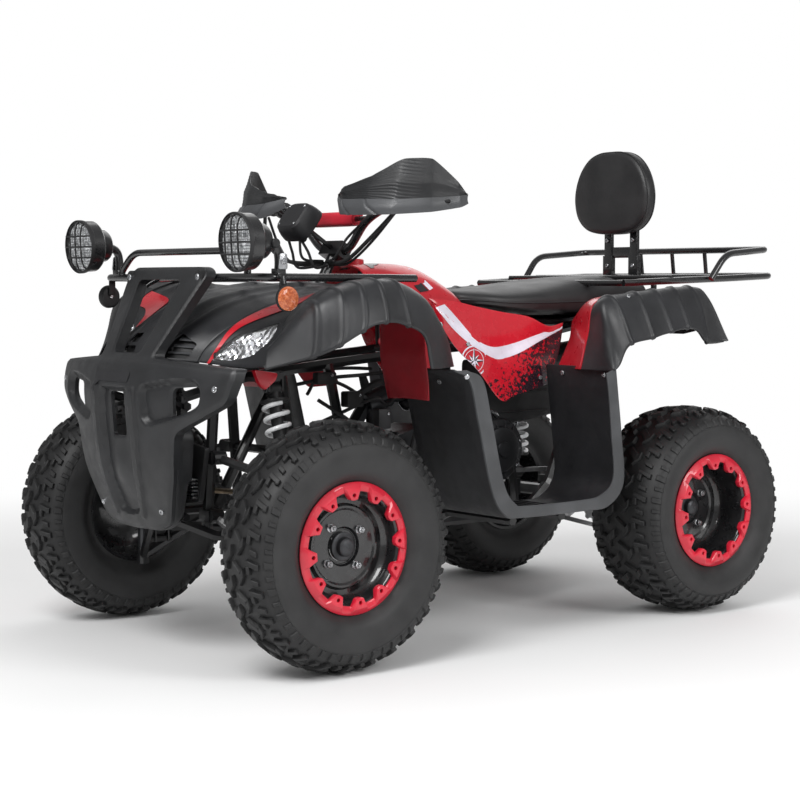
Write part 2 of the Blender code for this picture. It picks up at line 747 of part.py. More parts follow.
def stem(finishes):
    """The steering stem with its pitman arm, the bar's clamp and the pod's bracket."""
    base, top = stem_points()
    along = (top - base).normalized()
    forward = Vector((1, 0, 0)).cross(along)
    arm_tip = base - along * STEM_RADIUS + forward * STEERING_ARM_LENGTH
    arm_base = base + along * STEM_RADIUS
    clamp = clamp_point()
    arm_size = (PITMAN_WIDTH, STEERING_ARM_LENGTH, PITMAN_THICKNESS)
    turn = along.to_track_quat("Z", "Y").to_matrix()
    block = STEM_RADIUS * 2.8
    pod, pod_turn = pod_place()
    pieces = [
        rod(base, clamp, STEM_RADIUS), box(arm_base.lerp(arm_tip, 0.5), arm_size, turn),
        box(clamp, (CLAMP_WIDTH, block, block), turn),
        tube([clamp, pod], STRUT_RADIUS)]
    reach = Vector((CLAMP_WIDTH, 0, 0))
    bore = rod(clamp - reach, clamp + reach, BAR_RADIUS + PIN_CLEARANCE, sides=16)
    room = box(pod, [size + 2 * GAP for size in (POD_WIDTH, POD_HEIGHT, POD_DEPTH)], pod_turn)
    finish("steering_stem", cut(fused(pieces, "MANIFOLD"), [bore, room]), finishes["frame"], base)
    casing = box(pod, (POD_WIDTH, POD_HEIGHT, POD_DEPTH), pod_turn)
    finish("dash_pod", casing, finishes["black"], top)


def steering(finishes):
    """The handlebar with grips, brake levers and brace, the pad on it and the hand guards."""
    top = stem_points()[1]
    clamp = clamp_point()
    riser_shares = ((0.135, 0.279, 1.052), (0.21, 0.286, 1.086), (0.400, 0.352, 1.098))
    risers = [clamp + Vector((CLAMP_WIDTH * 0.7, 0, 0))] + places(riser_shares)
    grip_share, perch_share, brace_share, pad_share, lever_share = 0.62, 0.74, 0.16, 0.6, 0.9
    brace_end = risers[1].lerp(risers[2], brace_share)
    pieces = [
        tube(list(reversed(other_side(risers))) + risers, BAR_RADIUS, 2, BEND_RADIUS),
        rod(brace_end, other_side([brace_end])[0], BRACE_RADIUS, sides=8)]
    rows = guard_rows()
    stud = cut(rod(risers[-1], rows[0][-2].lerp(rows[1][-2], 0.5), STRUT_RADIUS, sides=8),
               [filled(rows, PANEL_THICKNESS + GAP, OVERRUN)])
    pieces += [mirrored(stud), stud]
    lever_drop = Vector((0, -BAR_RADIUS * 4, -BAR_RADIUS))
    for ends in (risers, other_side(risers)):
        tip = ends[-1]
        start = ends[-2].lerp(tip, 1 - grip_share)
        perch = ends[-2].lerp(tip, (1 - grip_share) * perch_share)
        pieces.append(rod(tip, start, GRIP_RADIUS, sides=10))
        pieces.append(rod(start, perch, GRIP_RADIUS * 1.25))
        knee = perch + lever_drop
        pieces.append(tube([perch.lerp(start, 0.5), knee, knee.lerp(tip + lever_drop, lever_share)],
                           STRUT_RADIUS * 0.8, 0))
    finish("handlebar", fused(pieces), finishes["bar"], top)

    pad_end = other_side([brace_end])[0].lerp(brace_end, (1 + pad_share) / 2)
    pad_start = other_side([pad_end])[0]
    over = Vector((OVERRUN, 0, 0))
    pad = cut(rod(pad_end, pad_start, PAD_RADIUS, sides=12),
              [rod(pad_end + over, pad_start - over, BRACE_RADIUS + GAP, sides=8)])
    finish("bar_pad", pad, finishes["red"], top)

    guard = shell(rows, PANEL_THICKNESS)
    other = mirrored(guard)
    finish("handguard_left", guard, finishes["black"], top)
    finish("handguard_right", other, finishes["black"], top)


def rear_axle(finishes):
    """The solid axle with its sprocket and brake disc."""
    end = REAR_TRACK / 2 + REAR_DISC_OFFSET + HUB_LENGTH / 4 - PIN_CLEARANCE
    centre = Vector((0, REAR_AXLE_Y, REAR_AXLE_Z))
    aside = Vector((1, 0, 0))
    outline = []
    for tooth in range(SPROCKET_TEETH):
        for share, radius in ((-0.30, SPROCKET_RADIUS - TOOTH_DEPTH), (-0.12, SPROCKET_RADIUS),
                              (0.12, SPROCKET_RADIUS), (0.30, SPROCKET_RADIUS - TOOTH_DEPTH)):
            angle = 2 * math.pi * (tooth + share) / SPROCKET_TEETH
            outline.append((radius * math.cos(angle), radius * math.sin(angle)))
    sprocket = plate([outline], SPROCKET_THICKNESS, side_frame(SPROCKET_X))
    sprocket.data.transform(Matrix.Translation((0, centre.y, centre.z)))
    disc_x = aside * SPROCKET_X
    thick = aside * SPROCKET_THICKNESS
    pieces = [
        rod(centre - aside * end, centre + aside * end, AXLE_RADIUS, sides=16),
        sprocket,
        rod(centre - disc_x, centre - disc_x + thick, BRAKE_DISC_RADIUS, sides=20),
        rod(centre + disc_x - thick, centre + disc_x + thick, HUB_RADIUS, sides=12),
        rod(centre - disc_x - thick, centre - disc_x + thick * 2, HUB_RADIUS, sides=12)]
    for side in (1, -1):
        face = REAR_TRACK / 2 + REAR_DISC_OFFSET - GAP
        pieces.append(rod(centre + aside * side * (face - HUB_LENGTH), centre + aside * side * face,
                          AXLE_RADIUS * 1.3, HUB_RADIUS * 0.9, sides=12))
    finish("rear_axle", fused(pieces, "MANIFOLD"), finishes["steel"], centre)


def swingarm_pivot():
    """The middle of the swingarm's pivot."""
    pivot_y_share, pivot_z_share = 0.70, 0.335
    return place(0, pivot_y_share, pivot_z_share)


def swingarm(finishes):
    """The rear arm: pivot tube, two arms, the axle's carrier and the damper's bracket."""
    pivot = swingarm_pivot()
    centre = Vector((0, REAR_AXLE_Y, REAR_AXLE_Z))
    aside = Vector((1, 0, 0))
    half = aside * CARRIER_LENGTH / 2
    arm_x = aside * (CARRIER_LENGTH / 2 - FRAME_TUBE_RADIUS)
    pieces = [rod(centre - half, centre + half, CARRIER_RADIUS, sides=20)]
    for side in (1, -1):
        pieces.append(tube([pivot + arm_x * side, centre + arm_x * side], FRAME_TUBE_RADIUS * 1.2))
    reach = aside * (PIVOT_HALF_WIDTH - GAP)
    pieces.append(rod(pivot - reach, pivot + reach, PIVOT_RADIUS))
    mount_share = 0.62
    mount = pivot.lerp(centre, mount_share)
    lift = Vector((0, 0, CARRIER_RADIUS))
    pieces.append(rod(mount - arm_x * 1.1, mount + arm_x * 1.1, CROSS_TUBE_RADIUS))
    pieces.append(box(mount + lift / 2, (CARRIER_RADIUS, SPRING_SEAT_THICKNESS * 3, CARRIER_RADIUS * 1.4)))
    body = fused(pieces)
    bore = rod(centre - half * 2, centre + half * 2, AXLE_RADIUS + PIN_CLEARANCE, sides=24)
    finish("swingarm", cut(body, [bore]), finishes["frame"])
    bottom = mount + lift * 1.2 + Vector((0, 0, BALL_JOINT_RADIUS + GAP))
    finish("shock_rear", shock(place(*REAR_SHOCK_TOP_SHARES), bottom), finishes["spring"])


def tangent_loop(small, small_radius, large, large_radius, steps=CHAIN_ARC_STEPS):
    """A belt's outline round two wheels, as points along Y and Z."""
    reach = Vector((large[0] - small[0], large[1] - small[1]))
    bearing = math.atan2(reach.y, reach.x)
    lean = math.acos((small_radius - large_radius) / reach.length)
    points = []
    for step in range(steps + 1):
        angle = bearing + lean + (2 * math.pi - 2 * lean) * step / steps
        points.append((small[0] + small_radius * math.cos(angle),
                       small[1] + small_radius * math.sin(angle)))
    for step in range(steps + 1):
        angle = bearing - lean + 2 * lean * step / steps
        points.append((large[0] + large_radius * math.cos(angle),
                       large[1] + large_radius * math.sin(angle)))
    return points


def drive_chain(finishes):
    """The chain as one band round the engine's sprocket and the axle's."""
    small = tuple(drive_place().yz)
    large = (REAR_AXLE_Y, REAR_AXLE_Z)
    turn_share = 0.6
    flat_share = math.cos(turn_share * math.pi / CHAIN_ARC_STEPS)
    small_radius = (DRIVE_SPROCKET_RADIUS + GAP) / flat_share
    large_radius = (SPROCKET_RADIUS + GAP) / flat_share
    inner = tangent_loop(small, small_radius, large, large_radius)
    outer = tangent_loop(small, small_radius + CHAIN_DEPTH, large, large_radius + CHAIN_DEPTH)
    band = plate([outer, inner], CHAIN_WIDTH, side_frame(SPROCKET_X))
    finish("drive_chain", band, finishes["steel"])


def engine(finishes):
    """The engine: crankcase, side covers, finned cylinder, head, intake and drive sprocket."""
    case_shares = ((0.385, 0.310), (0.40, 0.285), (0.62, 0.285), (0.665, 0.33), (0.672, 0.43),
                   (0.62, 0.50), (0.48, 0.515), (0.41, 0.49), (0.375, 0.42))
    outline = [tuple(place(0, y, z).yz) for y, z in case_shares]
    half = CRANKCASE_WIDTH / 2
    left_shares, right_shares = (0, 0.56, 0.449), (0, 0.56, 0.42)
    left = place(*left_shares)
    right = place(*right_shares)
    aside = Vector((1, 0, 0))
    pieces = [
        plate([outline], CRANKCASE_WIDTH, side_frame(0)),
        rod(left + aside * half / 2, left + aside * LEFT_COVER_REACH, LEFT_COVER_RADIUS,
            LEFT_COVER_RADIUS - COVER_DRAFT, sides=20),
        rod(right - aside * half / 2, right - aside * RIGHT_COVER_REACH, RIGHT_COVER_RADIUS,
            RIGHT_COVER_RADIUS - COVER_DRAFT, sides=20)]
    barrel_shares, head_shares = (0, 0.42, 0.43), (0, 0.262, 0.475)
    start = place(*barrel_shares)
    end = place(*head_shares)
    along = (end - start).normalized()
    turn = along.to_track_quat("Z", "Y").to_matrix()
    pieces.append(rod(start, end, CYLINDER_RADIUS, sides=12))
    first_share, last_share = 0.18, 0.80
    for fin in range(FIN_COUNT):
        share = first_share + (last_share - first_share) * fin / (FIN_COUNT - 1)
        pieces.append(box(start.lerp(end, share), (FIN_WIDTH, FIN_LENGTH, FIN_THICKNESS), turn))
    pieces.append(box(end - along * HEAD_HEIGHT / 4, (HEAD_WIDTH, HEAD_LENGTH, HEAD_HEIGHT), turn))
    intake_shares = ((0.03, 0.30, 0.50), (0.05, 0.33, 0.575), (0.06, 0.38, 0.60), (0.06, 0.45, 0.60))
    pieces.append(tube(places(intake_shares), PIPE_RADIUS * 1.3, 1))
    filter_shares = ((0.06, 0.43, 0.60), (0.06, 0.52, 0.60))
    pieces.append(rod(*places(filter_shares), CYLINDER_RADIUS * 0.8))
    drive = drive_place()
    pieces.append(rod(drive + aside * half / 2, drive + aside * (SPROCKET_X + SPROCKET_THICKNESS),
                      DRIVE_SPROCKET_RADIUS, sides=12))
    finish("engine", fused(pieces), finishes["cast"])


def drive_place():
    """The middle of the machine at the engine's drive sprocket."""
    drive_shares = (0, 0.64, 0.345)
    return place(*drive_shares)


def silencer_ends():
    """The two ends of the silencer's axis."""
    can_shares = ((-0.20, 0.86, 0.632), (-0.20, 1.13, 0.672))
    return places(can_shares)


def exhaust(finishes):
    """The exhaust pipe from the cylinder's head to the silencer on the right."""
    pipe_shares = ((-0.02, 0.280, 0.392), (-0.04, 0.29, 0.35), (-0.165, 0.36, 0.33),
                   (-0.175, 0.62, 0.31), (-0.185, 0.74, 0.42), (-0.20, 0.82, 0.60),
                   (-0.20, 0.88, 0.635))
    tip_shares = ((-0.20, 1.12, 0.670), (-0.20, 1.16, 0.676))
    pieces = [
        tube(places(pipe_shares), PIPE_RADIUS, 1, PIPE_BEND),
        rod(*silencer_ends(), SILENCER_RADIUS, sides=16),
        rod(*places(tip_shares), TAILPIPE_RADIUS)]
    finish("exhaust", fused(pieces), finishes["black"])


def frame_rails():
    """The frame's main tubes, with the posts, joined by cross members."""
    rails_shares = (
        ((0.09, -0.152, 0.325), (0.115, -0.08, 0.285), (0.125, 0.10, 0.262), (0.13, 0.72, 0.262),
         (0.125, 0.80, 0.34), (0.12, 0.88, 0.56), (0.12, 0.91, DECK_RAIL_SHARE)),
        ((0.10, -0.145, 0.62), (0.105, 0.0, 0.665), (0.10, 0.20, 0.69), (0.10, 0.45, 0.715),
         (0.115, 0.70, 0.735), (0.12, 0.90, DECK_RAIL_SHARE), (0.12, 1.16, DECK_RAIL_SHARE)),
        ((0.09, -0.150, 0.32), (0.10, -0.142, 0.625)),
        ((0.105, -0.092, 0.290), (0.105, -0.072, 0.648)),
        ((0.105, 0.098, 0.270), (0.105, 0.075, 0.678)),
        ((0.104, 0.20, 0.690), (0.125, 0.27, 0.262)),
        ((0.112, 0.66, 0.73), (0.13, 0.70, 0.265)))
    cross_shares = ((-0.145, 0.335), (-0.14, 0.60), (-0.082, 0.475), (0.086, 0.475), (0.093, 0.335),
                    (0.27, 0.264), (0.72, 0.262), (0.45, 0.715), (0.80, 0.750))
    reach_share = 0.118
    pieces = []
    for route_shares in rails_shares:
        route = places(route_shares)
        for ends in (route, other_side(route)):
            pieces.append(tube(ends, FRAME_TUBE_RADIUS, 1, BEND_RADIUS, steps=1))
    for y_share, z_share in cross_shares:
        pieces.append(rod(place(-reach_share, y_share, z_share), place(reach_share, y_share, z_share),
                          CROSS_TUBE_RADIUS, sides=6))
    return pieces


def frame_seats():
    """The flat pads, plates and channels on the frame that carry the deck, engine, arms and dampers."""
    pieces = []
    width_share = 0.2565
    width = width_share * BODY_WIDTH
    pad = Vector((width, FRAME_TUBE_RADIUS * 1.5, FRAME_TUBE_RADIUS * 1.2))
    deck_shares, engine_shares = ((0, 0.91, 0), (0, 1.14, 0)), ((0, 0.44, 0.285), (0, 0.58, 0.285))
    for spot in places(deck_shares):
        spot.z = DECK_HEIGHT - DECK_THICKNESS - GAP - pad.z / 2
        pieces.append(box(spot, pad))
    for spot in places(engine_shares):
        pieces.append(box(spot - Vector((0, 0, pad.z / 2 + GAP)), pad))
    pivot = swingarm_pivot()
    for side in (1, -1):
        thick = FRAME_TUBE_RADIUS
        spot = pivot + Vector((side * (PIVOT_HALF_WIDTH + thick / 2), 0, 0))
        pieces.append(box(spot, (thick, PIVOT_RADIUS * 3, PIVOT_RADIUS * 3)))
    for y_share, z_share in UPPER_PIVOT_SHARES + LOWER_PIVOT_SHARES:
        point = wishbone_pivot(y_share, z_share)
        channel = clevis(point, point - Vector((BALL_JOINT_RADIUS + FRAME_TUBE_RADIUS, 0, 0)))
        pieces += [mirrored(channel), channel]
    top = place(*SHOCK_TOP_SHARES)
    root = top + Vector((0, 0, BALL_JOINT_RADIUS + FRAME_TUBE_RADIUS + GAP))
    tower = (place(SUSPENSION_FRAME_X, SHOCK_TOP_SHARES[1], TOP_RAIL_SHARE),
             root + Vector((BALL_JOINT_RADIUS, 0, 0)))
    channel = clevis(top, root)
    pieces += [tube(tower, FRAME_TUBE_RADIUS, 1), tube(other_side(tower), FRAME_TUBE_RADIUS, 1),
               mirrored(channel), channel]
    rear_top = place(*REAR_SHOCK_TOP_SHARES)
    rear_root = Vector((0, rear_top.y, place(0, 0, REAR_CROSS_SHARE).z))
    pieces.append(clevis(rear_top, rear_root))
    return pieces


def stem_bearing():
    """The spine under the steering stem and the cup that the stem's foot turns in."""
    spine_shares = ((0, -0.145, 0.335), (0, 0.093, 0.335))
    ends = places(spine_shares)
    base, top = stem_points()
    along = (top - base).normalized()
    drop = (base.z - ends[0].z) / along.z
    below = PITMAN_THICKNESS / 2 + GAP
    return [rod(*ends, CROSS_TUBE_RADIUS, sides=6),
            rod(base - along * below, base - along * drop, STEM_RADIUS * CUP_SHARE, sides=10)]


def panel_struts():
    """The struts from the frame to the panels, each trimmed to the inside of its panel."""
    inside = PANEL_THICKNESS + GAP
    bumper_post_shares = ((0.099, -0.1436, 0.60), (0.094, -0.1467, 0.45))
    posts = places(bumper_post_shares)
    bull = bumper_rows()
    middle = len(bull[0]) // 2
    tank = tank_rows()
    hood = hood_rows()
    side = side_rows()
    tank_post_shares, hood_post_shares = (0.10, 0.46, 0.716), ((0.105, 0.027, 0.668), (0.10, -0.14, 0.62))
    side_post_shares, floor_shares = (0.109, 0.605, 0.7274), ((0.45, 0.3009), (0.585, 0.3009))
    hood_posts = places(hood_post_shares)
    crown = len(hood[0]) // 2 + 1
    behind = BUMPER_THICKNESS + GAP
    struts = [
        (posts[0], bull[4][middle + 2], CROSS_TUBE_RADIUS, bull, behind, OVERRUN),
        (posts[1], bull[2][middle + 2], CROSS_TUBE_RADIUS, bull, behind, OVERRUN),
        (place(*tank_post_shares), tank[2][-3], STRUT_RADIUS, tank, inside, OVERRUN),
        (hood_posts[0], hood[4][crown], STRUT_RADIUS, hood, inside, OVERRUN),
        (hood_posts[1], hood[1][crown], STRUT_RADIUS, hood, inside, OVERRUN),
        (place(*side_post_shares), side[1][3], STRUT_RADIUS, side, OVERRUN, GAP)]
    pieces = []
    for start, end, radius, rows, below, above in struts:
        strut = cut(rod(start, end, radius, sides=6), [filled(rows, below, above)])
        pieces += [mirrored(strut), strut]
    rail_share, bend_share, end_share = 0.128, 0.22, 0.46
    rail_height_share = 0.264
    for y_share, z_share in floor_shares:
        route = [place(rail_share, y_share, rail_height_share), place(bend_share, y_share, z_share),
                 place(end_share, y_share, z_share)]
        support = cut(tube(route, SUPPORT_RADIUS, 1), [filled(footwell_rows(), GAP, OVERRUN)])
        pieces += [mirrored(support), support]
    return pieces


def silencer_hanger():
    """The rod from the right rail that the silencer hangs on."""
    rail_shares, share = (-0.12, 1.0, DECK_RAIL_SHARE), 0.52
    front, rear = silencer_ends()
    line = rear - front
    hanger = rod(place(*rail_shares), front + line * share, CROSS_TUBE_RADIUS, sides=8)
    room = rod(front - line.normalized() * OVERRUN, rear, SILENCER_RADIUS + GAP, sides=16)
    return [cut(hanger, [room])]


def frame(finishes):
    """The tubular chassis with all that is welded to it."""
    pieces = frame_rails() + frame_seats() + stem_bearing() + panel_struts() + silencer_hanger()
    finish("frame", fused(pieces, "MANIFOLD"), finishes["frame"])


def footwell_rows():
    """The left footwell: rows across its walls and floor, each with its flange."""
    wall_shares = ((0.268, 0.684), (0.308, 0.656), (0.330, 0.560), (0.366, 0.387), (0.402, 0.322),
                   (0.45, 0.312), (0.62, 0.312), (0.690, 0.318), (0.735, 0.375), (0.728, 0.50),
                   (0.718, 0.60), (0.712, 0.662))
    lip_shares = ((0.300, 0.684), (0.340, 0.660), (0.362, 0.570), (0.396, 0.405), (0.425, 0.352),
                  (0.46, 0.342), (0.61, 0.342), (0.665, 0.350), (0.702, 0.390), (0.696, 0.50),
                  (0.688, 0.60), (0.680, 0.662))
    inner_share, outer_share, lip_share = 0.238, 0.495, 0.5
    rows = []
    for (y, z), (lip_y, lip_z) in zip(wall_shares, lip_shares):
        row_shares = ((inner_share, y, z), (outer_share, y, z), (lip_share, lip_y, lip_z))
        rows.append(places(row_shares))
    return rows


def footwells(finishes):
    """The open-sided footwells: floor, front wall and rear wall in one sheet with a flange."""
    left = shell(footwell_rows(), PANEL_THICKNESS, 1)
    right = mirrored(left)
    finish("footwell_left", left, finishes["black"])
    finish("footwell_right", right, finishes["black"])


def bumper_rows(columns=6):
    """The bull bar's front face, as rows of points from the right side to the left."""
    face_shares = ((0.29, 0.79), (0.33, 0.83), (0.45, 0.942), (0.56, 0.985), (0.64, 1.0),
                   (0.70, 0.955), (0.725, 0.885), (0.80, 0.755), (0.95, 0.50))
    edge_share, rib_share = 0.42, 0.65
    reach = FRONT_OVERHANG - RIB_HEIGHT * rib_share
    rows = []
    for z_share, reach_share in face_shares:
        row = []
        for column in range(-columns, columns + 1):
            x = column / columns * edge_share * BODY_WIDTH
            y = FRONT_AXLE_Y - reach_share * reach + BUMPER_SWEEP / BODY_WIDTH * x * x
            row.append(Vector((x, y, z_share * RACK_HEIGHT)))
        rows.append(row)
    return rows


def front_outline(table_shares, side=0):
    """An outline seen from the front: one half mirrored, or a whole one on the given side."""
    half = [(x * BODY_WIDTH, z * RACK_HEIGHT) for x, z in table_shares]
    if side:
        return [(side * x, z) for x, z in half]
    return half + [(-x, z) for x, z in reversed(half) if x > 0]


def bumper(finishes):
    """The bull bar: a curved sheet with windows, recesses, ribs and a wall round its tower."""
    half_shares = ((0.0, 0.932), (0.15, 0.932), (0.178, 0.915), (0.115, 0.718), (0.20, 0.712),
                   (0.385, 0.699), (0.388, 0.68), (0.372, 0.622), (0.309, 0.589), (0.222, 0.548),
                   (0.203, 0.442), (0.150, 0.327), (0.10, 0.308), (0.0, 0.305))
    loop_shares = ((0.0, 0.902), (0.084, 0.902), (0.095, 0.895), (0.062, 0.735), (0.05, 0.727),
                   (0.0, 0.727))
    slot_shares = ((0.0, 0.636), (0.03, 0.636), (0.03, 0.53), (0.0, 0.53))
    window_shares = ((0.208, 0.651), (0.289, 0.658), (0.291, 0.62), (0.275, 0.605), (0.205, 0.58))
    recess_shares = ((0.110, 0.655), (0.20, 0.672), (0.285, 0.676), (0.308, 0.655), (0.303, 0.612),
                     (0.27, 0.594), (0.14, 0.560), (0.118, 0.575))
    channel_shares = ((0.0, 0.648), (0.062, 0.648), (0.070, 0.56), (0.062, 0.42), (0.045, 0.345),
                      (0.0, 0.338))
    rib_shares = ((0.070, 0.650), (0.094, 0.652), (0.098, 0.55), (0.088, 0.42), (0.066, 0.335),
                  (0.052, 0.338), (0.068, 0.42), (0.078, 0.56))
    tower_shares = ((0.113, 0.56), (0.207, 0.545), (0.198, 0.442), (0.146, 0.331), (0.098, 0.313),
                    (0.0, 0.310))
    tower_room_shares = ((0.113, 0.548), (0.194, 0.534), (0.186, 0.446), (0.138, 0.341),
                         (0.094, 0.325), (0.0, 0.322))
    rows = bumper_rows()
    length = OVERALL_LENGTH / 2
    axes = front_frame(FRONT_AXLE_Y - length / 4)

    def front_prism(loops):
        return plate(loops, length, axes)

    windows = [front_outline(loop_shares), front_outline(slot_shares)]
    windows += [front_outline(window_shares, side) for side in (1, -1)]
    sheet = combine(shell(rows, BUMPER_THICKNESS), [front_prism([front_outline(half_shares)] + windows)],
                    "INTERSECT")
    for outline_shares, side in ((recess_shares, 1), (recess_shares, -1), (channel_shares, 0)):
        hollow = combine(filled(rows, RECESS_DEPTH, OVERRUN),
                         [front_prism([front_outline(outline_shares, side)])], "INTERSECT")
        sheet = cut(sheet, [hollow])
    ribs = [combine(filled(rows, RECESS_DEPTH / 2, RIB_HEIGHT), [front_prism([front_outline(rib_shares, side)])],
                    "INTERSECT") for side in (1, -1)]
    depth = BUMPER_WALL * 6
    wall_y = FRONT_AXLE_Y - FRONT_OVERHANG + BUMPER_THICKNESS + depth / 2
    ring = plate([front_outline(tower_shares), front_outline(tower_room_shares)], depth,
                 front_frame(wall_y))
    wall = cut(ring, [filled(rows, BUMPER_THICKNESS / 2, depth)])
    finish("bumper", fused([sheet, wall] + ribs), finishes["black"])


def lamp_feet():
    """Where the two spot lamps stand on the front rack's rails."""
    foot_share, y_share, rail_share = 0.360, -0.064, 0.907
    return [place(side * foot_share, y_share, rail_share) for side in (1, -1)]


def rack_front(finishes):
    """The front rack with its raised hoop, stays, lamp seats and turn signals."""
    rail_shares = ((0.36, 0.262, 0.905), (0.36, -0.094, 0.907))
    hoop_shares = ((0.285, -0.094, 0.907), (0.285, -0.091, 0.925), (0.235, -0.088, 0.97))
    stay_shares = ((0.346, 0.13, 0.903), (0.346, 0.13, 0.887))
    tongue_shares = ((0.10, -0.094, 0.907), (0.10, -0.15, 0.88))
    signal_shares, arm_shares = (0.402, -0.069, 0.858), ((0.36, -0.069, 0.905), (0.385, -0.069, 0.90))
    rail = places(rail_shares)
    hoop = places(hoop_shares)
    pieces = [
        tube(rail + list(reversed(other_side(rail))), RACK_TUBE_RADIUS, 1, BEND_RADIUS),
        tube(hoop + list(reversed(other_side(hoop))), RACK_TUBE_RADIUS * 0.9, 1, BEND_RADIUS)]
    wing = wing_rows()
    bull = bumper_rows()
    stay = cut(rod(*places(stay_shares), RACK_TUBE_RADIUS, sides=8), [filled(wing, OVERRUN, GAP)])
    tongue = cut(rod(*places(tongue_shares), RACK_TUBE_RADIUS, sides=8),
                 [filled(bull, BUMPER_THICKNESS + GAP, OVERRUN)])
    pieces += [mirrored(stay), stay, mirrored(tongue), tongue]
    signal = place(*signal_shares)
    half = Vector((SIGNAL_THICKNESS / 2, 0, 0))
    lamp = fused([rod(signal - half, signal + half, SIGNAL_RADIUS, sides=16),
                  tube(places(arm_shares) + [signal], STRUT_RADIUS, 1)])
    pieces += [mirrored(lamp), lamp]
    for foot in lamp_feet():
        seat = RACK_TUBE_RADIUS + GAP
        pieces.append(box(foot + Vector((0, 0, seat / 2)), (LAMP_FOOT_SIZE, LAMP_FOOT_SIZE, seat)))
    finish("rack_front", fused(pieces), finishes["bar"])


def rack_rear(finishes):
    """The rear rack: base ring, raised rail, slats, uprights, stays and the backrest's posts."""
    base_shares = ((0.297, 0.895, 0.894), (0.380, 1.18, 0.908), (0.380, 1.30, 0.915))
    raised_shares = ((0.380, 1.105, 0.905), (0.385, 1.15, 0.985), (0.372, 1.30, 1.0))
    upright_shares = (-0.13, 0.0, 0.13)
    slat_share, slat_height_share, stay_x_share, stay_y_share = 1.225, 0.9105, 0.10, 1.16
    post_top_share, post_x_share = 1.05, 0.052
    base = places(base_shares)
    rear_y = OVERALL_LENGTH / 2 - RACK_TUBE_RADIUS
    base[-1].y = rear_y
    raised = places(raised_shares)
    raised[-1].y = rear_y - RACK_TUBE_RADIUS
    for point in raised[1:]:
        point.z -= RACK_TUBE_RADIUS
    pieces = [
        tube(base + list(reversed(other_side(base))), RACK_TUBE_RADIUS, 1, BEND_RADIUS),
        tube(raised + list(reversed(other_side(raised))), RACK_TUBE_RADIUS, 1, BEND_RADIUS)]
    half_share = base[1].x / BODY_WIDTH
    for y_share, radius in ((POST_SHARE, RACK_TUBE_RADIUS), (slat_share, SLAT_RADIUS)):
        start = place(-half_share, y_share, slat_height_share)
        pieces.append(rod(start, other_side([start])[0], radius, sides=6))
    for x_share in upright_shares:
        foot = Vector((x_share * BODY_WIDTH, rear_y, base[-1].z))
        head = Vector((x_share * BODY_WIDTH, raised[-1].y, raised[-1].z))
        pieces.append(rod(foot, head, SLAT_RADIUS, sides=6))
    post = place(0, POST_SHARE, (post_top_share + slat_height_share) / 2)
    post_height = (post_top_share - slat_height_share) * RACK_HEIGHT
    for side in (1, -1):
        foot = place(side * stay_x_share, stay_y_share, 0)
        foot.z = DECK_HEIGHT + GAP
        head = place(side * stay_x_share, stay_y_share, slat_height_share)
        front = place(side * stay_x_share, POST_SHARE, slat_height_share)
        back = place(side * stay_x_share, slat_share, slat_height_share)
        pieces += [rod(foot, head, SLAT_RADIUS * 1.5, sides=6), rod(front, back, SLAT_RADIUS * 1.2, sides=6)]
        offset = Vector((side * post_x_share * BODY_WIDTH, 0, 0))
        pieces.append(box(post + offset, (POST_WIDTH, POST_THICKNESS, post_height)))
    pieces.append(box(post, (2 * post_x_share * BODY_WIDTH, POST_THICKNESS / 2, POST_THICKNESS * 3)))
    finish("rack_rear", fused(pieces, "MANIFOLD"), finishes["bar"])


def tank_rows():
    """The tank cover, as rows across the machine from the front to the back."""
    tank_shares = (
        ((0, 0.303, 0.940), (0.05, 0.303, 0.938), (0.09, 0.303, 0.915), (0.105, 0.303, 0.87),
         (0.11, 0.303, 0.80)),
        ((0, 0.372, 0.945), (0.06, 0.372, 0.942), (0.105, 0.372, 0.915), (0.125, 0.372, 0.86),
         (0.13, 0.372, 0.78)),
        ((0, 0.460, 0.937), (0.06, 0.460, 0.93), (0.11, 0.460, 0.90), (0.135, 0.460, 0.84),
         (0.142, 0.460, 0.77)),
        ((0, 0.524, 0.897), (0.06, 0.524, 0.89), (0.11, 0.524, 0.87), (0.14, 0.524, 0.825),
         (0.15, 0.524, 0.765)),
        ((0, 0.552, 0.862), (0.06, 0.552, 0.858), (0.11, 0.552, 0.845), (0.142, 0.552, 0.81),
         (0.152, 0.552, 0.765)))
    return [both_sides(places(row)) for row in tank_shares]


def tank_cover(finishes):
    """The cover over the tank with its filler cap."""
    cap_shares = ((0, 0.3316, 0.935), (0, 0.3316, 0.957))
    cap = rod(*places(cap_shares), CAP_RADIUS, sides=16)
    finish("tank_cover", fused([shell(tank_rows(), PANEL_THICKNESS), cap]), finishes["red"])


def side_rows():
    """The left side panel: its upper edge, a bulged middle and its lower edge."""
    top_shares = ((0.155, 0.432, 0.852), (0.165, 0.492, 0.846), (0.175, 0.556, 0.830),
                  (0.182, 0.620, 0.816), (0.186, 0.692, 0.803), (0.190, 0.749, 0.777),
                  (0.196, 0.789, 0.785))
    low_shares = ((0.160, 0.436, 0.835), (0.185, 0.478, 0.735), (0.205, 0.532, 0.665),
                  (0.215, 0.590, 0.584), (0.218, 0.632, 0.596), (0.220, 0.676, 0.608),
                  (0.222, 0.720, 0.620))
    high = places(top_shares)
    low = places(low_shares)
    middle = [a.lerp(b, 0.5) + Vector((PANEL_BULGE, 0, 0)) for a, b in zip(high, low)]
    return [high, middle, low]


def side_panels(finishes):
    """The panels under the seat's front corners."""
    left = shell(side_rows(), PANEL_THICKNESS)
    right = mirrored(left)
    finish("side_panel_left", left, finishes["red"])
    finish("side_panel_right", right, finishes["red"])


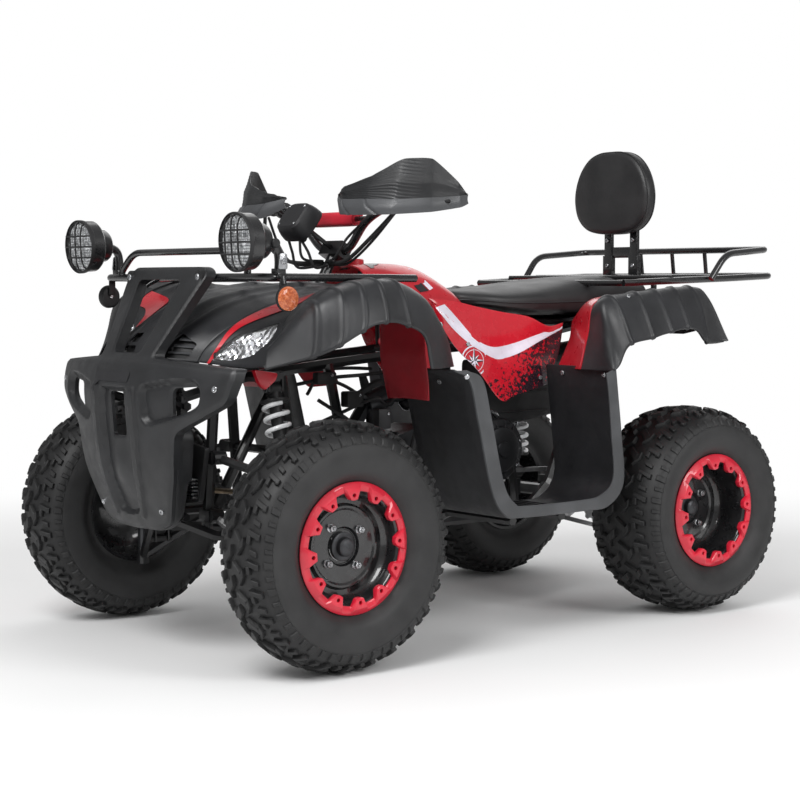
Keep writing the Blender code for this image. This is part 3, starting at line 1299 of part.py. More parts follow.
def hood_rows():
    """The nose cover, as rows across the machine from the grille up to the tank."""
    hood_shares = (
        ((0, -0.197, 0.715), (0.10, -0.185, 0.712), (0.17, -0.145, 0.708)),
        ((0, -0.178, 0.760), (0.10, -0.170, 0.755), (0.18, -0.128, 0.745)),
        ((0, -0.141, 0.800), (0.10, -0.127, 0.795), (0.195, -0.093, 0.785)),
        ((0, -0.061, 0.850), (0.10, -0.053, 0.845), (0.21, -0.029, 0.828)),
        ((0, 0.027, 0.875), (0.10, 0.027, 0.870), (0.22, 0.043, 0.858)),
        ((0, 0.131, 0.892), (0.10, 0.131, 0.888), (0.225, 0.139, 0.878)),
        ((0, 0.200, 0.898), (0.10, 0.200, 0.893), (0.228, 0.205, 0.885)))
    return [both_sides(places(row)) for row in hood_shares]


def nose_cover(finishes):
    """The cover between the headlights, with its grille slots."""
    slots_shares = (((0.028, 0.722), (0.085, 0.720), (0.075, 0.742), (0.028, 0.744)),
                    ((0.028, 0.752), (0.070, 0.750), (0.060, 0.772), (0.028, 0.774)),
                    ((0.100, 0.718), (0.150, 0.716), (0.160, 0.750), (0.115, 0.775)))
    length = OVERALL_LENGTH / 4
    axes = front_frame(FRONT_AXLE_Y - length / 2)
    slots = [plate([front_outline(slot, side)], length, axes)
             for slot in slots_shares for side in (1, -1)]
    finish("nose_cover", cut(shell(hood_rows(), PANEL_THICKNESS), [joined(slots)]), finishes["black"])


def wing_rows():
    """The left front wing beside the nose, with its apron down behind the wheel."""
    wing_shares = (
        ((0.26, -0.095, 0.697), (0.345, -0.075, 0.700)),
        ((0.26, -0.085, 0.752), (0.352, -0.060, 0.755)),
        ((0.28, -0.060, 0.795), (0.360, -0.040, 0.815)),
        ((0.29, -0.010, 0.840), (0.368, 0.003, 0.860)),
        ((0.30, 0.050, 0.868), (0.373, 0.051, 0.885)),
        ((0.30, 0.125, 0.885), (0.378, 0.115, 0.899)),
        ((0.30, 0.190, 0.886), (0.378, 0.190, 0.885)))
    apron_shares = (
        ((0.228, 0.262, 0.852), (0.30, 0.238, 0.853), (0.379, 0.232, 0.850)),
        ((0.225, 0.318, 0.800), (0.30, 0.268, 0.800), (0.380, 0.255, 0.800)))
    seam = Vector((SEAM_GAP, 0, 0))
    rows = [[hood[-1] + seam] + places(row) for hood, row in zip(hood_rows(), wing_shares)]
    return rows + [places(row) for row in apron_shares]


def liner():
    """The flap inside the left front wheel's arch, down to the footwell."""
    liner_shares = ((0.250, 0.750), (0.312, 0.806), (0.330, 0.800), (0.378, 0.776), (0.430, 0.613),
                    (0.344, 0.609))
    liner_share = 0.2265
    outline = [tuple(place(0, y, z).yz) for y, z in liner_shares]
    return plate([outline], PANEL_THICKNESS, side_frame(liner_share * BODY_WIDTH))


def flares(finishes):
    """The wide black mudguards over the wheels."""
    seam = Vector((SEAM_GAP, 0, 0))
    inner_shares = ((0.380, 0.271, 0.770), (0.385, 0.308, 0.692))
    ridge_shares = ((0.362, -0.089, 0.742), (0.420, -0.053, 0.800), (0.455, -0.017, 0.848),
                    (0.470, 0.030, 0.874), (0.475, 0.101, 0.890), (0.475, 0.154, 0.885),
                    (0.470, 0.210, 0.855), (0.465, 0.244, 0.812), (0.462, 0.272, 0.760),
                    (0.460, 0.290, 0.692))
    lower_shares = ((0.380, -0.105, 0.700), (0.470, -0.041, 0.735), (0.505, 0.003, 0.768),
                    (0.520, 0.049, 0.801), (0.525, 0.095, 0.811), (0.525, 0.140, 0.801),
                    (0.520, 0.176, 0.782), (0.517, 0.192, 0.755), (0.513, 0.201, 0.725),
                    (0.510, 0.209, 0.692))
    inner = [row[-1] + seam for row in wing_rows()[1:]] + places(inner_shares)
    left = shell([inner, places(ridge_shares), places(lower_shares)], PANEL_THICKNESS)
    right = mirrored(left)
    finish("flare_front_left", left, finishes["black"])
    finish("flare_front_right", right, finishes["black"])
    ridge_shares = ((0.470, 0.700, 0.668), (0.462, 0.702, 0.760), (0.455, 0.712, 0.838),
                    (0.455, 0.790, 0.857), (0.455, 0.969, 0.876), (0.455, 1.028, 0.849),
                    (0.445, 1.100, 0.737))
    lower_shares = ((0.500, 0.700, 0.668), (0.500, 0.715, 0.690), (0.502, 0.739, 0.740),
                    (0.508, 0.800, 0.757), (0.510, 0.926, 0.782), (0.505, 0.984, 0.743),
                    (0.490, 1.053, 0.735))
    panel = rear_rows()
    inner = [point + 2 * seam for point in panel[0]]
    panel[0] = [point.lerp(near, 0.5) for point, near in zip(panel[0], inner)]
    left = cut(shell([inner, places(ridge_shares), places(lower_shares)], PANEL_THICKNESS),
               [filled(panel, GAP, PANEL_THICKNESS + GAP)])
    right = mirrored(left)
    finish("flare_rear_left", left, finishes["black"])
    finish("flare_rear_right", right, finishes["black"])


def front_bodies(finishes):
    """The wings beside the nose, with the headlights let into them."""
    lens_shares = ((0.185, -0.118, 0.712), (0.235, -0.095, 0.775), (0.345, -0.050, 0.806),
                   (0.335, -0.060, 0.765), (0.285, -0.082, 0.722), (0.225, -0.100, 0.706))
    lean_shares, clearance_share = (0.35, -1, 0.25), 0.012
    lens = places(lens_shares)
    away = Vector(lean_shares).normalized() * LENS_REACH
    middle = sum(lens, Vector()) / len(lens)

    def prism(grow):
        rim = [middle + (point - middle) * grow for point in lens]
        return loft([[point + away for point in rim], [point - away for point in rim]])

    wing = shell(wing_rows(), PANEL_THICKNESS)
    lens_left = combine(copied(wing), [prism(1)], "INTERSECT")
    panel_left = fused([cut(wing, [prism(1 + clearance_share)]), liner()])
    lens_right = mirrored(lens_left)
    panel_right = mirrored(panel_left)
    finish("headlight_left", lens_left, finishes["glass"])
    finish("headlight_right", lens_right, finishes["glass"])
    finish("front_body_left", panel_left, finishes["red"])
    finish("front_body_right", panel_right, finishes["red"])


def rear_rows():
    """The left half of the rear panel: its outer edge, its crest and its edge beside the seat."""
    outer_shares = ((0.390, 0.694, 0.668), (0.395, 0.712, 0.760), (0.398, 0.729, 0.840),
                    (0.398, 0.821, 0.858), (0.398, 0.98, 0.865), (0.398, 1.028, 0.848),
                    (0.396, 1.090, 0.765))
    middle_shares = ((0.30, 0.729, 0.664), (0.30, 0.753, 0.750), (0.30, 0.777, 0.835),
                     (0.30, 0.853, 0.852), (0.30, 0.997, 0.858), (0.30, 1.10, 0.845),
                     (0.30, 1.17, 0.77))
    inner_shares = ((0.240, 0.745, 0.668), (0.232, 0.785, 0.740), (0.214, 0.812, 0.795),
                    (0.20, 0.869, 0.806), (0.20, 0.997, 0.810), (0.20, 1.18, 0.810),
                    (0.20, 1.205, 0.77))
    return [places(outer_shares), places(middle_shares), places(inner_shares)]


def rear_body(finishes):
    """The red panel round the back of the seat and the deck under the rear rack."""
    side = shell(rear_rows(), PANEL_THICKNESS, 1)
    other = mirrored(side)
    level = DECK_HEIGHT / RACK_HEIGHT
    edge_rise_share, flat_share, edge_share = 0.009, 0.17, 0.215
    deck_shares = ((0.82, 0.795), (0.869, level), (0.997, level), (TAIL_SHARE, level),
                   (TAIL_SHARE, 0.745))
    deck_rows = []
    for y, z in deck_shares:
        edge = z + edge_rise_share
        across_shares = ((-edge_share, edge), (-flat_share, z), (0, z), (flat_share, z), (edge_share, edge))
        deck_rows.append([place(x, y, height) for x, height in across_shares])
    deck = shell(deck_rows, DECK_THICKNESS)
    finish("rear_body", fused([side, deck, other], "MANIFOLD"), finishes["red"])
    tail = place(0, TAIL_SHARE, level)
    tail += Vector((0, TAIL_DEPTH / 2 + GAP, -TAIL_HEIGHT * 0.7))
    finish("tail_light", box(tail, (TAIL_WIDTH, TAIL_DEPTH, TAIL_HEIGHT)), finishes["tail"])


def seat(finishes):
    """The seat and the backrest's pad, as plain forms of their real size."""
    rest = (DECK_HEIGHT + GAP) / RACK_HEIGHT
    section_shares = (
        (0.557, 0.118, 0.832, 0.872), (0.640, 0.165, 0.822, 0.872), (0.750, 0.178, 0.806, 0.888),
        (0.869, 0.178, rest, 0.903), (0.960, 0.172, rest, 0.912), (1.080, 0.162, rest, 0.914),
        (1.115, 0.13, rest, 0.905))
    shoulder_share = 0.008
    rings = []
    for y, half, low, high in section_shares:
        middle = (low + high) / 2
        rings.append([place(x * half, y, z) for x, z in (
            (-0.8, low), (-1, middle), (-0.72, high - shoulder_share), (0, high),
            (0.72, high - shoulder_share), (1, middle), (0.8, low))])
    finish("seat", loft(rings), finishes["vinyl"])

    outline_shares = ((0, 1.278), (0.085, 1.265), (0.128, 1.225), (0.148, 1.165), (0.150, 1.130),
                      (0.135, 1.085), (0.10, 1.052), (0.05, 1.038))
    y = place(0, POST_SHARE, 0).y - (POST_THICKNESS + PAD_THICKNESS) / 2 - GAP
    pad = plate([front_outline(outline_shares)], PAD_THICKNESS, front_frame(y))
    finish("backrest_pad", pad, finishes["vinyl"])


def lamps(finishes):
    """The two spot lamps: a dished housing on its bracket on the rack."""
    centre_shares, back_shares = (0.358, -0.158, 0.986), (0.359, -0.108, 0.989)
    tail_share = 0.35
    foot = lamp_feet()[0]
    centre, back = places((centre_shares, back_shares))
    axis = (back - centre).normalized()
    seat = foot.z + RACK_TUBE_RADIUS + 2 * GAP
    neck = Vector((foot.x, foot.y, back.z))
    pieces = [
        rod(centre, back, LAMP_RADIUS, LAMP_BACK_RADIUS, sides=20),
        rod(back, back + (back - centre) * tail_share, LAMP_RADIUS * 0.65, LAMP_RADIUS * 0.45),
        box((foot.x, foot.y, (seat + back.z) / 2), (LAMP_FOOT_SIZE, LAMP_FOOT_SIZE, back.z - seat)),
        rod(neck, back, LAMP_FOOT_SIZE / 2)]
    room = rod(centre - axis * OVERRUN, centre + axis * LAMP_LENS_DEPTH,
               LAMP_RADIUS - BRACKET_THICKNESS, sides=20)
    housing = cut(fused(pieces), [room])
    right = mirrored(housing)
    finish("lamp_left", housing, finishes["black"])
    finish("lamp_right", right, finishes["black"])


def build():
    """Make every part of the machine."""
    clear_scene()
    finishes = {
        "rubber": paint("tyre_rubber", (0.025, 0.025, 0.027), 0.75),
        "rim": paint("rim_black", (0.02, 0.02, 0.022), 0.35, 0.3),
        "red": paint("gloss_red", (0.62, 0.012, 0.025), 0.25),
        "black": paint("black_plastic", (0.035, 0.036, 0.038), 0.5),
        "bar": paint("black_tube", (0.02, 0.02, 0.02), 0.35, 0.2),
        "frame": paint("frame_black", (0.018, 0.018, 0.02), 0.4, 0.2),
        "cast": paint("cast_alloy", (0.05, 0.05, 0.052), 0.5, 0.6),
        "steel": paint("steel", (0.35, 0.35, 0.36), 0.35, 1.0),
        "bronze": paint("bronze_plate", (0.35, 0.26, 0.18), 0.4, 1.0),
        "spring": paint("spring_white", (0.75, 0.75, 0.76), 0.4),
        "vinyl": paint("seat_vinyl", (0.022, 0.022, 0.023), 0.6),
        "glass": paint("lamp_glass", (0.75, 0.77, 0.8), 0.1, 0.4),
        "amber": paint("amber_lens", (0.75, 0.2, 0.05), 0.2),
        "tail": paint("tail_lens", (0.4, 0.01, 0.01), 0.2),
    }
    wheels(finishes)
    rear_axle(finishes)
    swingarm(finishes)
    drive_chain(finishes)
    front_suspension(finishes)
    knuckles(finishes)
    stem(finishes)
    steering(finishes)
    frame(finishes)
    engine(finishes)
    exhaust(finishes)
    footwells(finishes)
    bumper(finishes)
    rack_front(finishes)
    rack_rear(finishes)
    tank_cover(finishes)
    side_panels(finishes)
    nose_cover(finishes)
    front_bodies(finishes)
    flares(finishes)
    rear_body(finishes)
    seat(finishes)
    lamps(finishes)


build()
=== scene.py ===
"""The looks of a utility quad bike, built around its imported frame."""

import math

import bmesh
import bpy
import numpy as np
from mathutils import Matrix, Vector


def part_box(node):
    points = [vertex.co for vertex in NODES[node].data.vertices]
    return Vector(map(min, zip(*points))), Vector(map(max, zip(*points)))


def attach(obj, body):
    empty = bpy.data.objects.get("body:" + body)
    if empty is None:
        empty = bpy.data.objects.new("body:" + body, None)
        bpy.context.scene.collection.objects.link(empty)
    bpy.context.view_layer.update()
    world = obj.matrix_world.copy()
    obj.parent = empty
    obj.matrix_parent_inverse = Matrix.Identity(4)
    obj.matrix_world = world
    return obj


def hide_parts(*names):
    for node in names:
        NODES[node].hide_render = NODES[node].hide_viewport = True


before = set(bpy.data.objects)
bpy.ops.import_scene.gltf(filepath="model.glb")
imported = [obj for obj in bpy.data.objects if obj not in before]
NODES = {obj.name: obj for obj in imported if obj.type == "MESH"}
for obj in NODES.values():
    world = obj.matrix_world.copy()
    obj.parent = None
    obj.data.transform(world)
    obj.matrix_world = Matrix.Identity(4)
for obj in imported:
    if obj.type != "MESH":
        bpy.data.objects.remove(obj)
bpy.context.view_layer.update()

# Sizes that the frame is built on, in metres.
WHEELBASE = 1.247
FRONT_AXLE_Y = -0.66525
REAR_AXLE_Y = FRONT_AXLE_Y + WHEELBASE
PANEL = 0.004
AXIS = 0.00001  # the radius at which a turned profile closes on its axis
MIRROR = np.array([-1.0, 1.0, 1.0])


# Shader values and materials.

class Val:
    """A socket that Python sums and products turn into Math nodes."""

    def __init__(self, finish, socket):
        self.finish = finish
        self.socket = socket

    def maths(self, kind, *others):
        return self.finish.put("ShaderNodeMath", {"operation": kind}, dict(enumerate((self,) + others)))

    def __add__(self, other):
        return self.maths("ADD", other)

    def __sub__(self, other):
        return self.maths("SUBTRACT", other)

    def __mul__(self, other):
        return self.maths("MULTIPLY", other)

    def __truediv__(self, other):
        return self.maths("DIVIDE", other)

    def __rsub__(self, other):
        return self.finish.put("ShaderNodeMath", {"operation": "SUBTRACT"}, {0: other, 1: self})

    __radd__ = __add__
    __rmul__ = __mul__

    def root(self):
        return self.maths("SQRT")

    def sine(self):
        return self.maths("SINE")


class Finish:
    """A material on the Principled shader, and the nodes that feed it."""

    def __init__(self, name, colour, rough=0.5, metal=0.0, coat=0.0, coat_rough=0.06, **more):
        self.material = bpy.data.materials.new(name)
        self.material.use_nodes = True
        self.tree = self.material.node_tree
        self.shader = self.tree.nodes["Principled BSDF"]
        self.colour = colour
        self.set("Base Color", (*colour, 1.0))
        self.set("Roughness", rough)
        self.set("Metallic", metal)
        self.set("Coat Weight", coat)
        self.set("Coat Roughness", coat_rough)
        for socket, value in more.items():
            self.set(socket.replace("_", " "), value)
        self.material.diffuse_color = (*colour, 1.0)

    def set(self, socket, value):
        self.feed(self.shader.inputs[socket], value)

    def feed(self, socket, value):
        if isinstance(value, Val):
            self.tree.links.new(value.socket, socket)
        else:
            socket.default_value = value

    def put(self, kind, settings=None, inputs=None, out=0):
        """A node of a kind with its settings, then its sockets' values or links."""
        node = self.tree.nodes.new(kind)
        for name, value in (settings or {}).items():
            if name == "stops":
                ramp = node.color_ramp
                while len(ramp.elements) < len(value):
                    ramp.elements.new(0.5)
                for element, (place, colour) in zip(ramp.elements, value):
                    element.position = place
                    element.color = (*colour, 1.0)
            else:
                setattr(node, name, value)
        for name, value in (inputs or {}).items():
            self.feed(node.inputs[name], value)
        return Val(self, node.outputs[out])

    def where(self):
        """The three coordinates of a point on the piece, in metres."""
        if not hasattr(self, "xyz"):
            spot = self.put("ShaderNodeTexCoord", out=3)
            split = self.put("ShaderNodeSeparateXYZ", inputs={0: spot})
            self.spot = spot
            self.xyz = [Val(self, split.socket.node.outputs[index]) for index in range(3)]
        return self.xyz

    def noise(self, scale, detail=3.0, rough=0.5):
        self.where()
        return self.put("ShaderNodeTexNoise", inputs={
            "Vector": self.spot, "Scale": scale, "Detail": detail, "Roughness": rough})

    def cells(self, scale):
        self.where()
        return self.put("ShaderNodeTexVoronoi", {"feature": "F1"}, {"Vector": self.spot, "Scale": scale})

    def band(self, value, low, high, stops=(0.0, 1.0)):
        """Where a value runs from low to high, spread smoothly over the two stops."""
        return self.put("ShaderNodeMapRange", {"interpolation_type": "SMOOTHSTEP"}, {
            0: value, 1: low, 2: high, 3: stops[0], 4: stops[1]})

    def mix(self, first, second, share):
        """A colour that goes from the first to the second with the share."""
        inputs = {0: share, 6: first if isinstance(first, Val) else (*first, 1.0),
                  7: second if isinstance(second, Val) else (*second, 1.0)}
        return self.put("ShaderNodeMix", {"data_type": "RGBA"}, inputs, out=2)

    def bump(self, height, depth, strength=1.0):
        return self.put("ShaderNodeBump", inputs={"Height": height, "Distance": depth, "Strength": strength})

    def shade(self, spread=0.25, scale=9.0):
        """Slow changes of the base colour's depth over the piece."""
        slow = self.noise(scale, 2.0)
        dark = tuple(c * (1 - spread) for c in self.colour)
        light = tuple(min(1.0, c * (1 + spread)) for c in self.colour)
        self.set("Base Color", self.mix(dark, light, self.band(slow, 0.3, 0.7)))
        return self


def grained(name, colour, rough=0.5, grain=900.0, depth=0.00025, spread=0.2, **more):
    """A moulded plastic: fine rounded cells in the surface and slow changes of tone."""
    finish = Finish(name, colour, rough, **more).shade(spread)
    cell = finish.cells(grain)
    fine = finish.noise(grain * 2.2, 2.0)
    finish.set("Normal", finish.bump(cell + fine * 0.5, depth, 0.55))
    finish.set("Roughness", finish.band(finish.noise(30.0), 0.3, 0.7, (rough - 0.06, rough + 0.07)))
    return finish


def painted(name, colour, rough=0.3, metal=0.0, coat=0.6, peel=260.0, depth=0.00012, spread=0.12, **more):
    """A painted or coated part: faint waves in the coat and slow changes of tone."""
    finish = Finish(name, colour, rough, metal, coat, **more).shade(spread)
    finish.set("Normal", finish.bump(finish.noise(peel, 2.0), depth, 0.5))
    finish.set("Roughness", finish.band(finish.noise(40.0), 0.3, 0.7, (rough - 0.05, rough + 0.08)))
    return finish


def cast(name, colour, rough=0.5, metal=0.8):
    """A cast part: a sandy skin with darker hollows."""
    finish = Finish(name, colour, rough, metal)
    sand = finish.noise(1500.0, 3.0, 0.6)
    slow = finish.noise(22.0, 3.0)
    dark = tuple(c * 0.6 for c in colour)
    finish.set("Base Color", finish.mix(dark, colour, finish.band(slow, 0.35, 0.65)))
    finish.set("Roughness", finish.band(slow, 0.3, 0.7, (rough + 0.12, rough - 0.08)))
    finish.set("Normal", finish.bump(sand, 0.0004, 0.5))
    return finish


FINISH = {
    "plastic": grained("black_plastic", (0.0150, 0.0155, 0.0170), 0.42),
    "flare": grained("flare_plastic", (0.0170, 0.0175, 0.0195), 0.38, grain=1100.0),
    "soft_black": grained("soft_black", (0.009, 0.009, 0.010), 0.58, grain=700.0),
    "frame": painted("frame_paint", (0.008, 0.008, 0.009), 0.38, coat=0.3),
    "tube": painted("tube_coat", (0.010, 0.010, 0.011), 0.26, coat=0.7),
    "rim": painted("rim_coat", (0.010, 0.010, 0.011), 0.28, coat=0.8),
    "cast": cast("dark_cast", (0.075, 0.077, 0.082), 0.45, 0.75),
    "case": cast("engine_case", (0.030, 0.031, 0.034), 0.42, 0.6),
    "steel": cast("bare_steel", (0.46, 0.46, 0.47), 0.32, 1.0),
    "zinc": cast("bright_zinc", (0.62, 0.63, 0.65), 0.25, 1.0),
    "bronze": cast("yellow_zinc", (0.36, 0.27, 0.18), 0.36, 1.0),
    "spring": painted("spring_coat", (0.72, 0.73, 0.74), 0.32, coat=0.5),
    "exhaust": cast("heat_paint", (0.028, 0.028, 0.029), 0.55, 0.4),
    "ring": painted("ring_paint", (0.62, 0.012, 0.035), 0.36, coat=0.45, spread=0.10),
    "red": painted("red_plastic", (0.52, 0.006, 0.018), 0.32, coat=0.45, spread=0.06, peel=120.0),
    # The body's red darkened: painted shade on the flap and apron inside the front wings.
    "painted_shade_red": grained("red_plastic_painted_shade", (0.32, 0.006, 0.014), 0.42),
    "red_pad": grained("red_pad_cover", (0.52, 0.012, 0.03), 0.55, grain=600.0, depth=0.0004),
    "lamp": painted("lamp_housing", (0.012, 0.012, 0.013), 0.3, coat=0.5),
    "tail": Finish("tail_lens", (0.42, 0.008, 0.015), 0.14, coat=0.9).shade(0.3, 60.0),
    "chrome": Finish("lamp_reflector", (0.82, 0.83, 0.85), 0.14, 1.0).shade(0.08, 60.0),
    "rubber_trim": grained("rubber_trim", (0.014, 0.014, 0.015), 0.7, grain=500.0),
}


# Meshes.

def coated(obj, finish):
    obj.data.materials.clear()
    obj.data.materials.append(FINISH[finish].material if isinstance(finish, str) else finish.material)
    return obj


def made(name, points, faces, finish, smooth=35.0):
    """A piece from an array of points and a list or array of faces."""
    mesh = bpy.data.meshes.new(name)
    mesh.from_pydata(np.asarray(points, float).tolist(), [], [list(map(int, face)) for face in faces])
    mesh.update()
    obj = bpy.data.objects.new(name, mesh)
    bpy.context.scene.collection.objects.link(obj)
    tidy(obj)
    coated(obj, finish)
    if smooth:
        mesh.shade_smooth()
        mesh.set_sharp_from_angle(angle=math.radians(smooth))
    return obj


def tidy(obj):
    """Merge a mesh's doubles and turn its faces outwards."""
    shape = bmesh.new()
    shape.from_mesh(obj.data)
    bmesh.ops.remove_doubles(shape, verts=shape.verts, dist=1e-6)
    bmesh.ops.recalc_face_normals(shape, faces=shape.faces)
    if all(edge.is_manifold for edge in shape.edges) and shape.calc_volume(signed=True) < 0:
        bmesh.ops.reverse_faces(shape, faces=shape.faces)
    shape.to_mesh(obj.data)
    shape.free()


def grid_faces(rows, columns, wrap_rows=False, wrap_columns=False, start=0):
    """The four-cornered faces of a grid of points stored row by row."""
    r = np.arange(rows if wrap_rows else rows - 1)
    c = np.arange(columns if wrap_columns else columns - 1)
    r, c = np.meshgrid(r, c, indexing="ij")
    r2, c2 = (r + 1) % rows, (c + 1) % columns
    corners = [r * columns + c, r * columns + c2, r2 * columns + c2, r2 * columns + c]
    return np.stack([corner.ravel() for corner in corners], 1) + start


def applied(obj, *modifiers):
    """The object with modifiers of the given kinds and settings applied to its mesh."""
    for kind, settings in modifiers:
        modifier = obj.modifiers.new(kind.lower(), kind)
        for name, value in settings.items():
            setattr(modifier, name, value)
    bpy.context.view_layer.update()
    graph = bpy.context.evaluated_depsgraph_get()
    mesh = bpy.data.meshes.new_from_object(obj.evaluated_get(graph))
    old = obj.data
    obj.modifiers.clear()
    obj.data = mesh
    bpy.data.meshes.remove(old)
    return obj


def softened(width=0.0012, segments=2, angle=40.0):
    """A bevel for the edges sharper than an angle."""
    return "BEVEL", {"width": width, "segments": segments, "limit_method": "ANGLE",
                     "angle_limit": math.radians(angle), "use_clamp_overlap": True}


def resmooth(obj, angle=35.0):
    obj.data.shade_smooth()
    obj.data.set_sharp_from_angle(angle=math.radians(angle))
    return obj


def catmull(points, steps, closed=False, tight=0.0):
    """Points on the smooth curve through the given ones: the cubic whose slope at each point is
    half the step between its neighbours, with steps to a span."""
    p = np.asarray(points, float)
    n = len(p)
    if closed:
        before, after = np.roll(p, 1, 0), np.roll(p, -1, 0)
        slope = (after - before) * 0.5 * (1 - tight)
        spans = n
    else:
        slope = np.empty_like(p)
        slope[1:-1] = (p[2:] - p[:-2]) * 0.5 * (1 - tight)
        slope[0] = (p[1] - p[0]) * (1 - tight)
        slope[-1] = (p[-1] - p[-2]) * (1 - tight)
        spans = n - 1
    t = (np.arange(steps) / steps).reshape((1, steps) + (1,) * (p.ndim - 1))
    i = np.arange(spans)
    j = (i + 1) % n
    a, b = p[i][:, None], p[j][:, None]
    u, v = slope[i][:, None], slope[j][:, None]
    curve = ((2 * t ** 3 - 3 * t ** 2 + 1) * a + (t ** 3 - 2 * t ** 2 + t) * u
             + (3 * t ** 2 - 2 * t ** 3) * b + (t ** 3 - t ** 2) * v)
    curve = curve.reshape((spans * steps,) + p.shape[1:])
    return curve if closed else np.concatenate([curve, p[-1:]])


def straight(points, steps):
    """Points on the straight spans between the given ones."""
    p = np.asarray(points, float)
    t = (np.arange(steps) / steps).reshape((1, steps) + (1,) * (p.ndim - 1))
    line = (p[:-1, None] * (1 - t) + p[1:, None] * t).reshape(((len(p) - 1) * steps,) + p.shape[1:])
    return np.concatenate([line, p[-1:]])


def place(aside, along, up):
    """A point: metres to the left, the share of the wheelbase behind the front axle, metres up."""
    return np.array([aside, FRONT_AXLE_Y + along * WHEELBASE, up])


def places(table):
    return np.array([place(*row) for row in table])


def both_sides(row):
    """A row that starts on the middle plane, with its mirror image before it."""
    return np.concatenate([row[:0:-1] * MIRROR, row])


def normals_of(grid):
    """The unit normals of a grid of points, from the steps along its two ways."""
    along = np.gradient(grid, axis=0)
    across = np.gradient(grid, axis=1)
    normal = np.cross(across, along)
    return normal / np.maximum(np.linalg.norm(normal, axis=2, keepdims=True), 1e-9)


def skin(name, rows, finish, thickness=PANEL, steps=(6, 6), ways=(catmull, catmull), relief=None,
         offset=-1.0, edge=0.0012):
    """A moulded panel: a smooth surface through rows of points, raised along its normals by the
    relief, a function of the two shares along and across it, then given a wall and round edges."""
    grid = ways[0](np.asarray(rows, float), steps[0])
    grid = np.swapaxes(ways[1](np.swapaxes(grid, 0, 1), steps[1]), 0, 1)
    rise = normals_of(grid)
    if relief is not None:
        u, v = np.meshgrid(np.linspace(0, 1, grid.shape[0]), np.linspace(0, 1, grid.shape[1]), indexing="ij")
        grid = grid + rise * relief(u, v, grid)[..., None]
    mesh = bpy.data.meshes.new(name)
    mesh.from_pydata(grid.reshape(-1, 3).tolist(), [], grid_faces(*grid.shape[:2]).tolist())
    mesh.update()
    obj = bpy.data.objects.new(name, mesh)
    bpy.context.scene.collection.objects.link(obj)
    applied(obj, ("SOLIDIFY", {"thickness": thickness, "offset": offset}))
    if edge:
        applied(obj, softened(edge, 2, 60.0))
    coated(obj, finish)
    return resmooth(obj, 50.0)


def merged(name, objects):
    """Several meshes as one piece; each keeps its own finish."""
    shape = bmesh.new()
    slots = []
    for obj in objects:
        start = len(shape.faces)
        shape.from_mesh(obj.data)
        shape.faces.ensure_lookup_table()
        for material in obj.data.materials:
            if material not in slots:
                slots.append(material)
        own = [slots.index(material) for material in obj.data.materials]
        for face in shape.faces[start:]:
            face.material_index = own[min(face.material_index, len(own) - 1)]
    mesh = bpy.data.meshes.new(name)
    shape.to_mesh(mesh)
    shape.free()
    for obj in objects:
        bpy.data.objects.remove(obj, do_unlink=True)
    for material in slots:
        mesh.materials.append(material)
    piece = bpy.data.objects.new(name, mesh)
    bpy.context.scene.collection.objects.link(piece)
    return resmooth(piece)


def mirrored(obj, name):
    """A copy on the machine's other side, with its faces turned outwards again."""
    twin = obj.copy()
    twin.data = obj.data.copy()
    twin.name = name
    twin.data.transform(Matrix.Diagonal((-1, 1, 1, 1)))
    twin.data.flip_normals()
    bpy.context.scene.collection.objects.link(twin)
    return twin


def worn(obj, body, slot, *nodes):
    """The piece rides on a body and stands for the nodes; the slot is not used."""
    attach(obj, body)
    if nodes:
        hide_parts(*nodes)
    return obj


def pair(obj, name, body, slot, *nodes):
    """A left piece and its twin on the right; {} in the names stands for the side."""
    twin = mirrored(obj, name.format("right"))
    obj.name = name.format("left")
    for piece, side in ((obj, "left"), (twin, "right")):
        worn(piece, body.format(side), slot, *[node.format(side) for node in nodes])
    return obj, twin


def turned(name, profile, finish, centre=(0, 0, 0), axis=0, steps=96, closed=True, smooth=35.0):
    """A profile of places along an axis and radii, turned about it: each point of the profile
    becomes a ring of that radius."""
    profile = np.asarray(profile, float)
    angle = np.arange(steps) / steps * 2 * math.pi
    along = np.broadcast_to(profile[None, :, 0], (steps, len(profile)))
    out = profile[None, :, 1]
    first, second = out * np.cos(angle)[:, None], out * np.sin(angle)[:, None]
    order = {0: (along, first, second), 1: (second, along, first), 2: (first, second, along)}[axis]
    grid = np.stack(order, 2) + np.asarray(centre, float)
    faces = grid_faces(steps, len(profile), True, closed)
    return made(name, grid.reshape(-1, 3), faces, finish, smooth)


def frames_along(path):
    """The unit tangents of a path and two directions across it that don't twist."""
    tangent = np.gradient(path, axis=0)
    tangent /= np.maximum(np.linalg.norm(tangent, axis=1, keepdims=True), 1e-9)
    side = np.zeros_like(path)
    guess = np.array([0.0, 0.0, 1.0]) if abs(tangent[0][2]) < 0.9 else np.array([1.0, 0.0, 0.0])
    last = guess - tangent[0] * guess.dot(tangent[0])
    for index, way in enumerate(tangent):
        last = last - way * last.dot(way)
        last = last / max(np.linalg.norm(last), 1e-9)
        side[index] = last
    return tangent, side, np.cross(tangent, side)


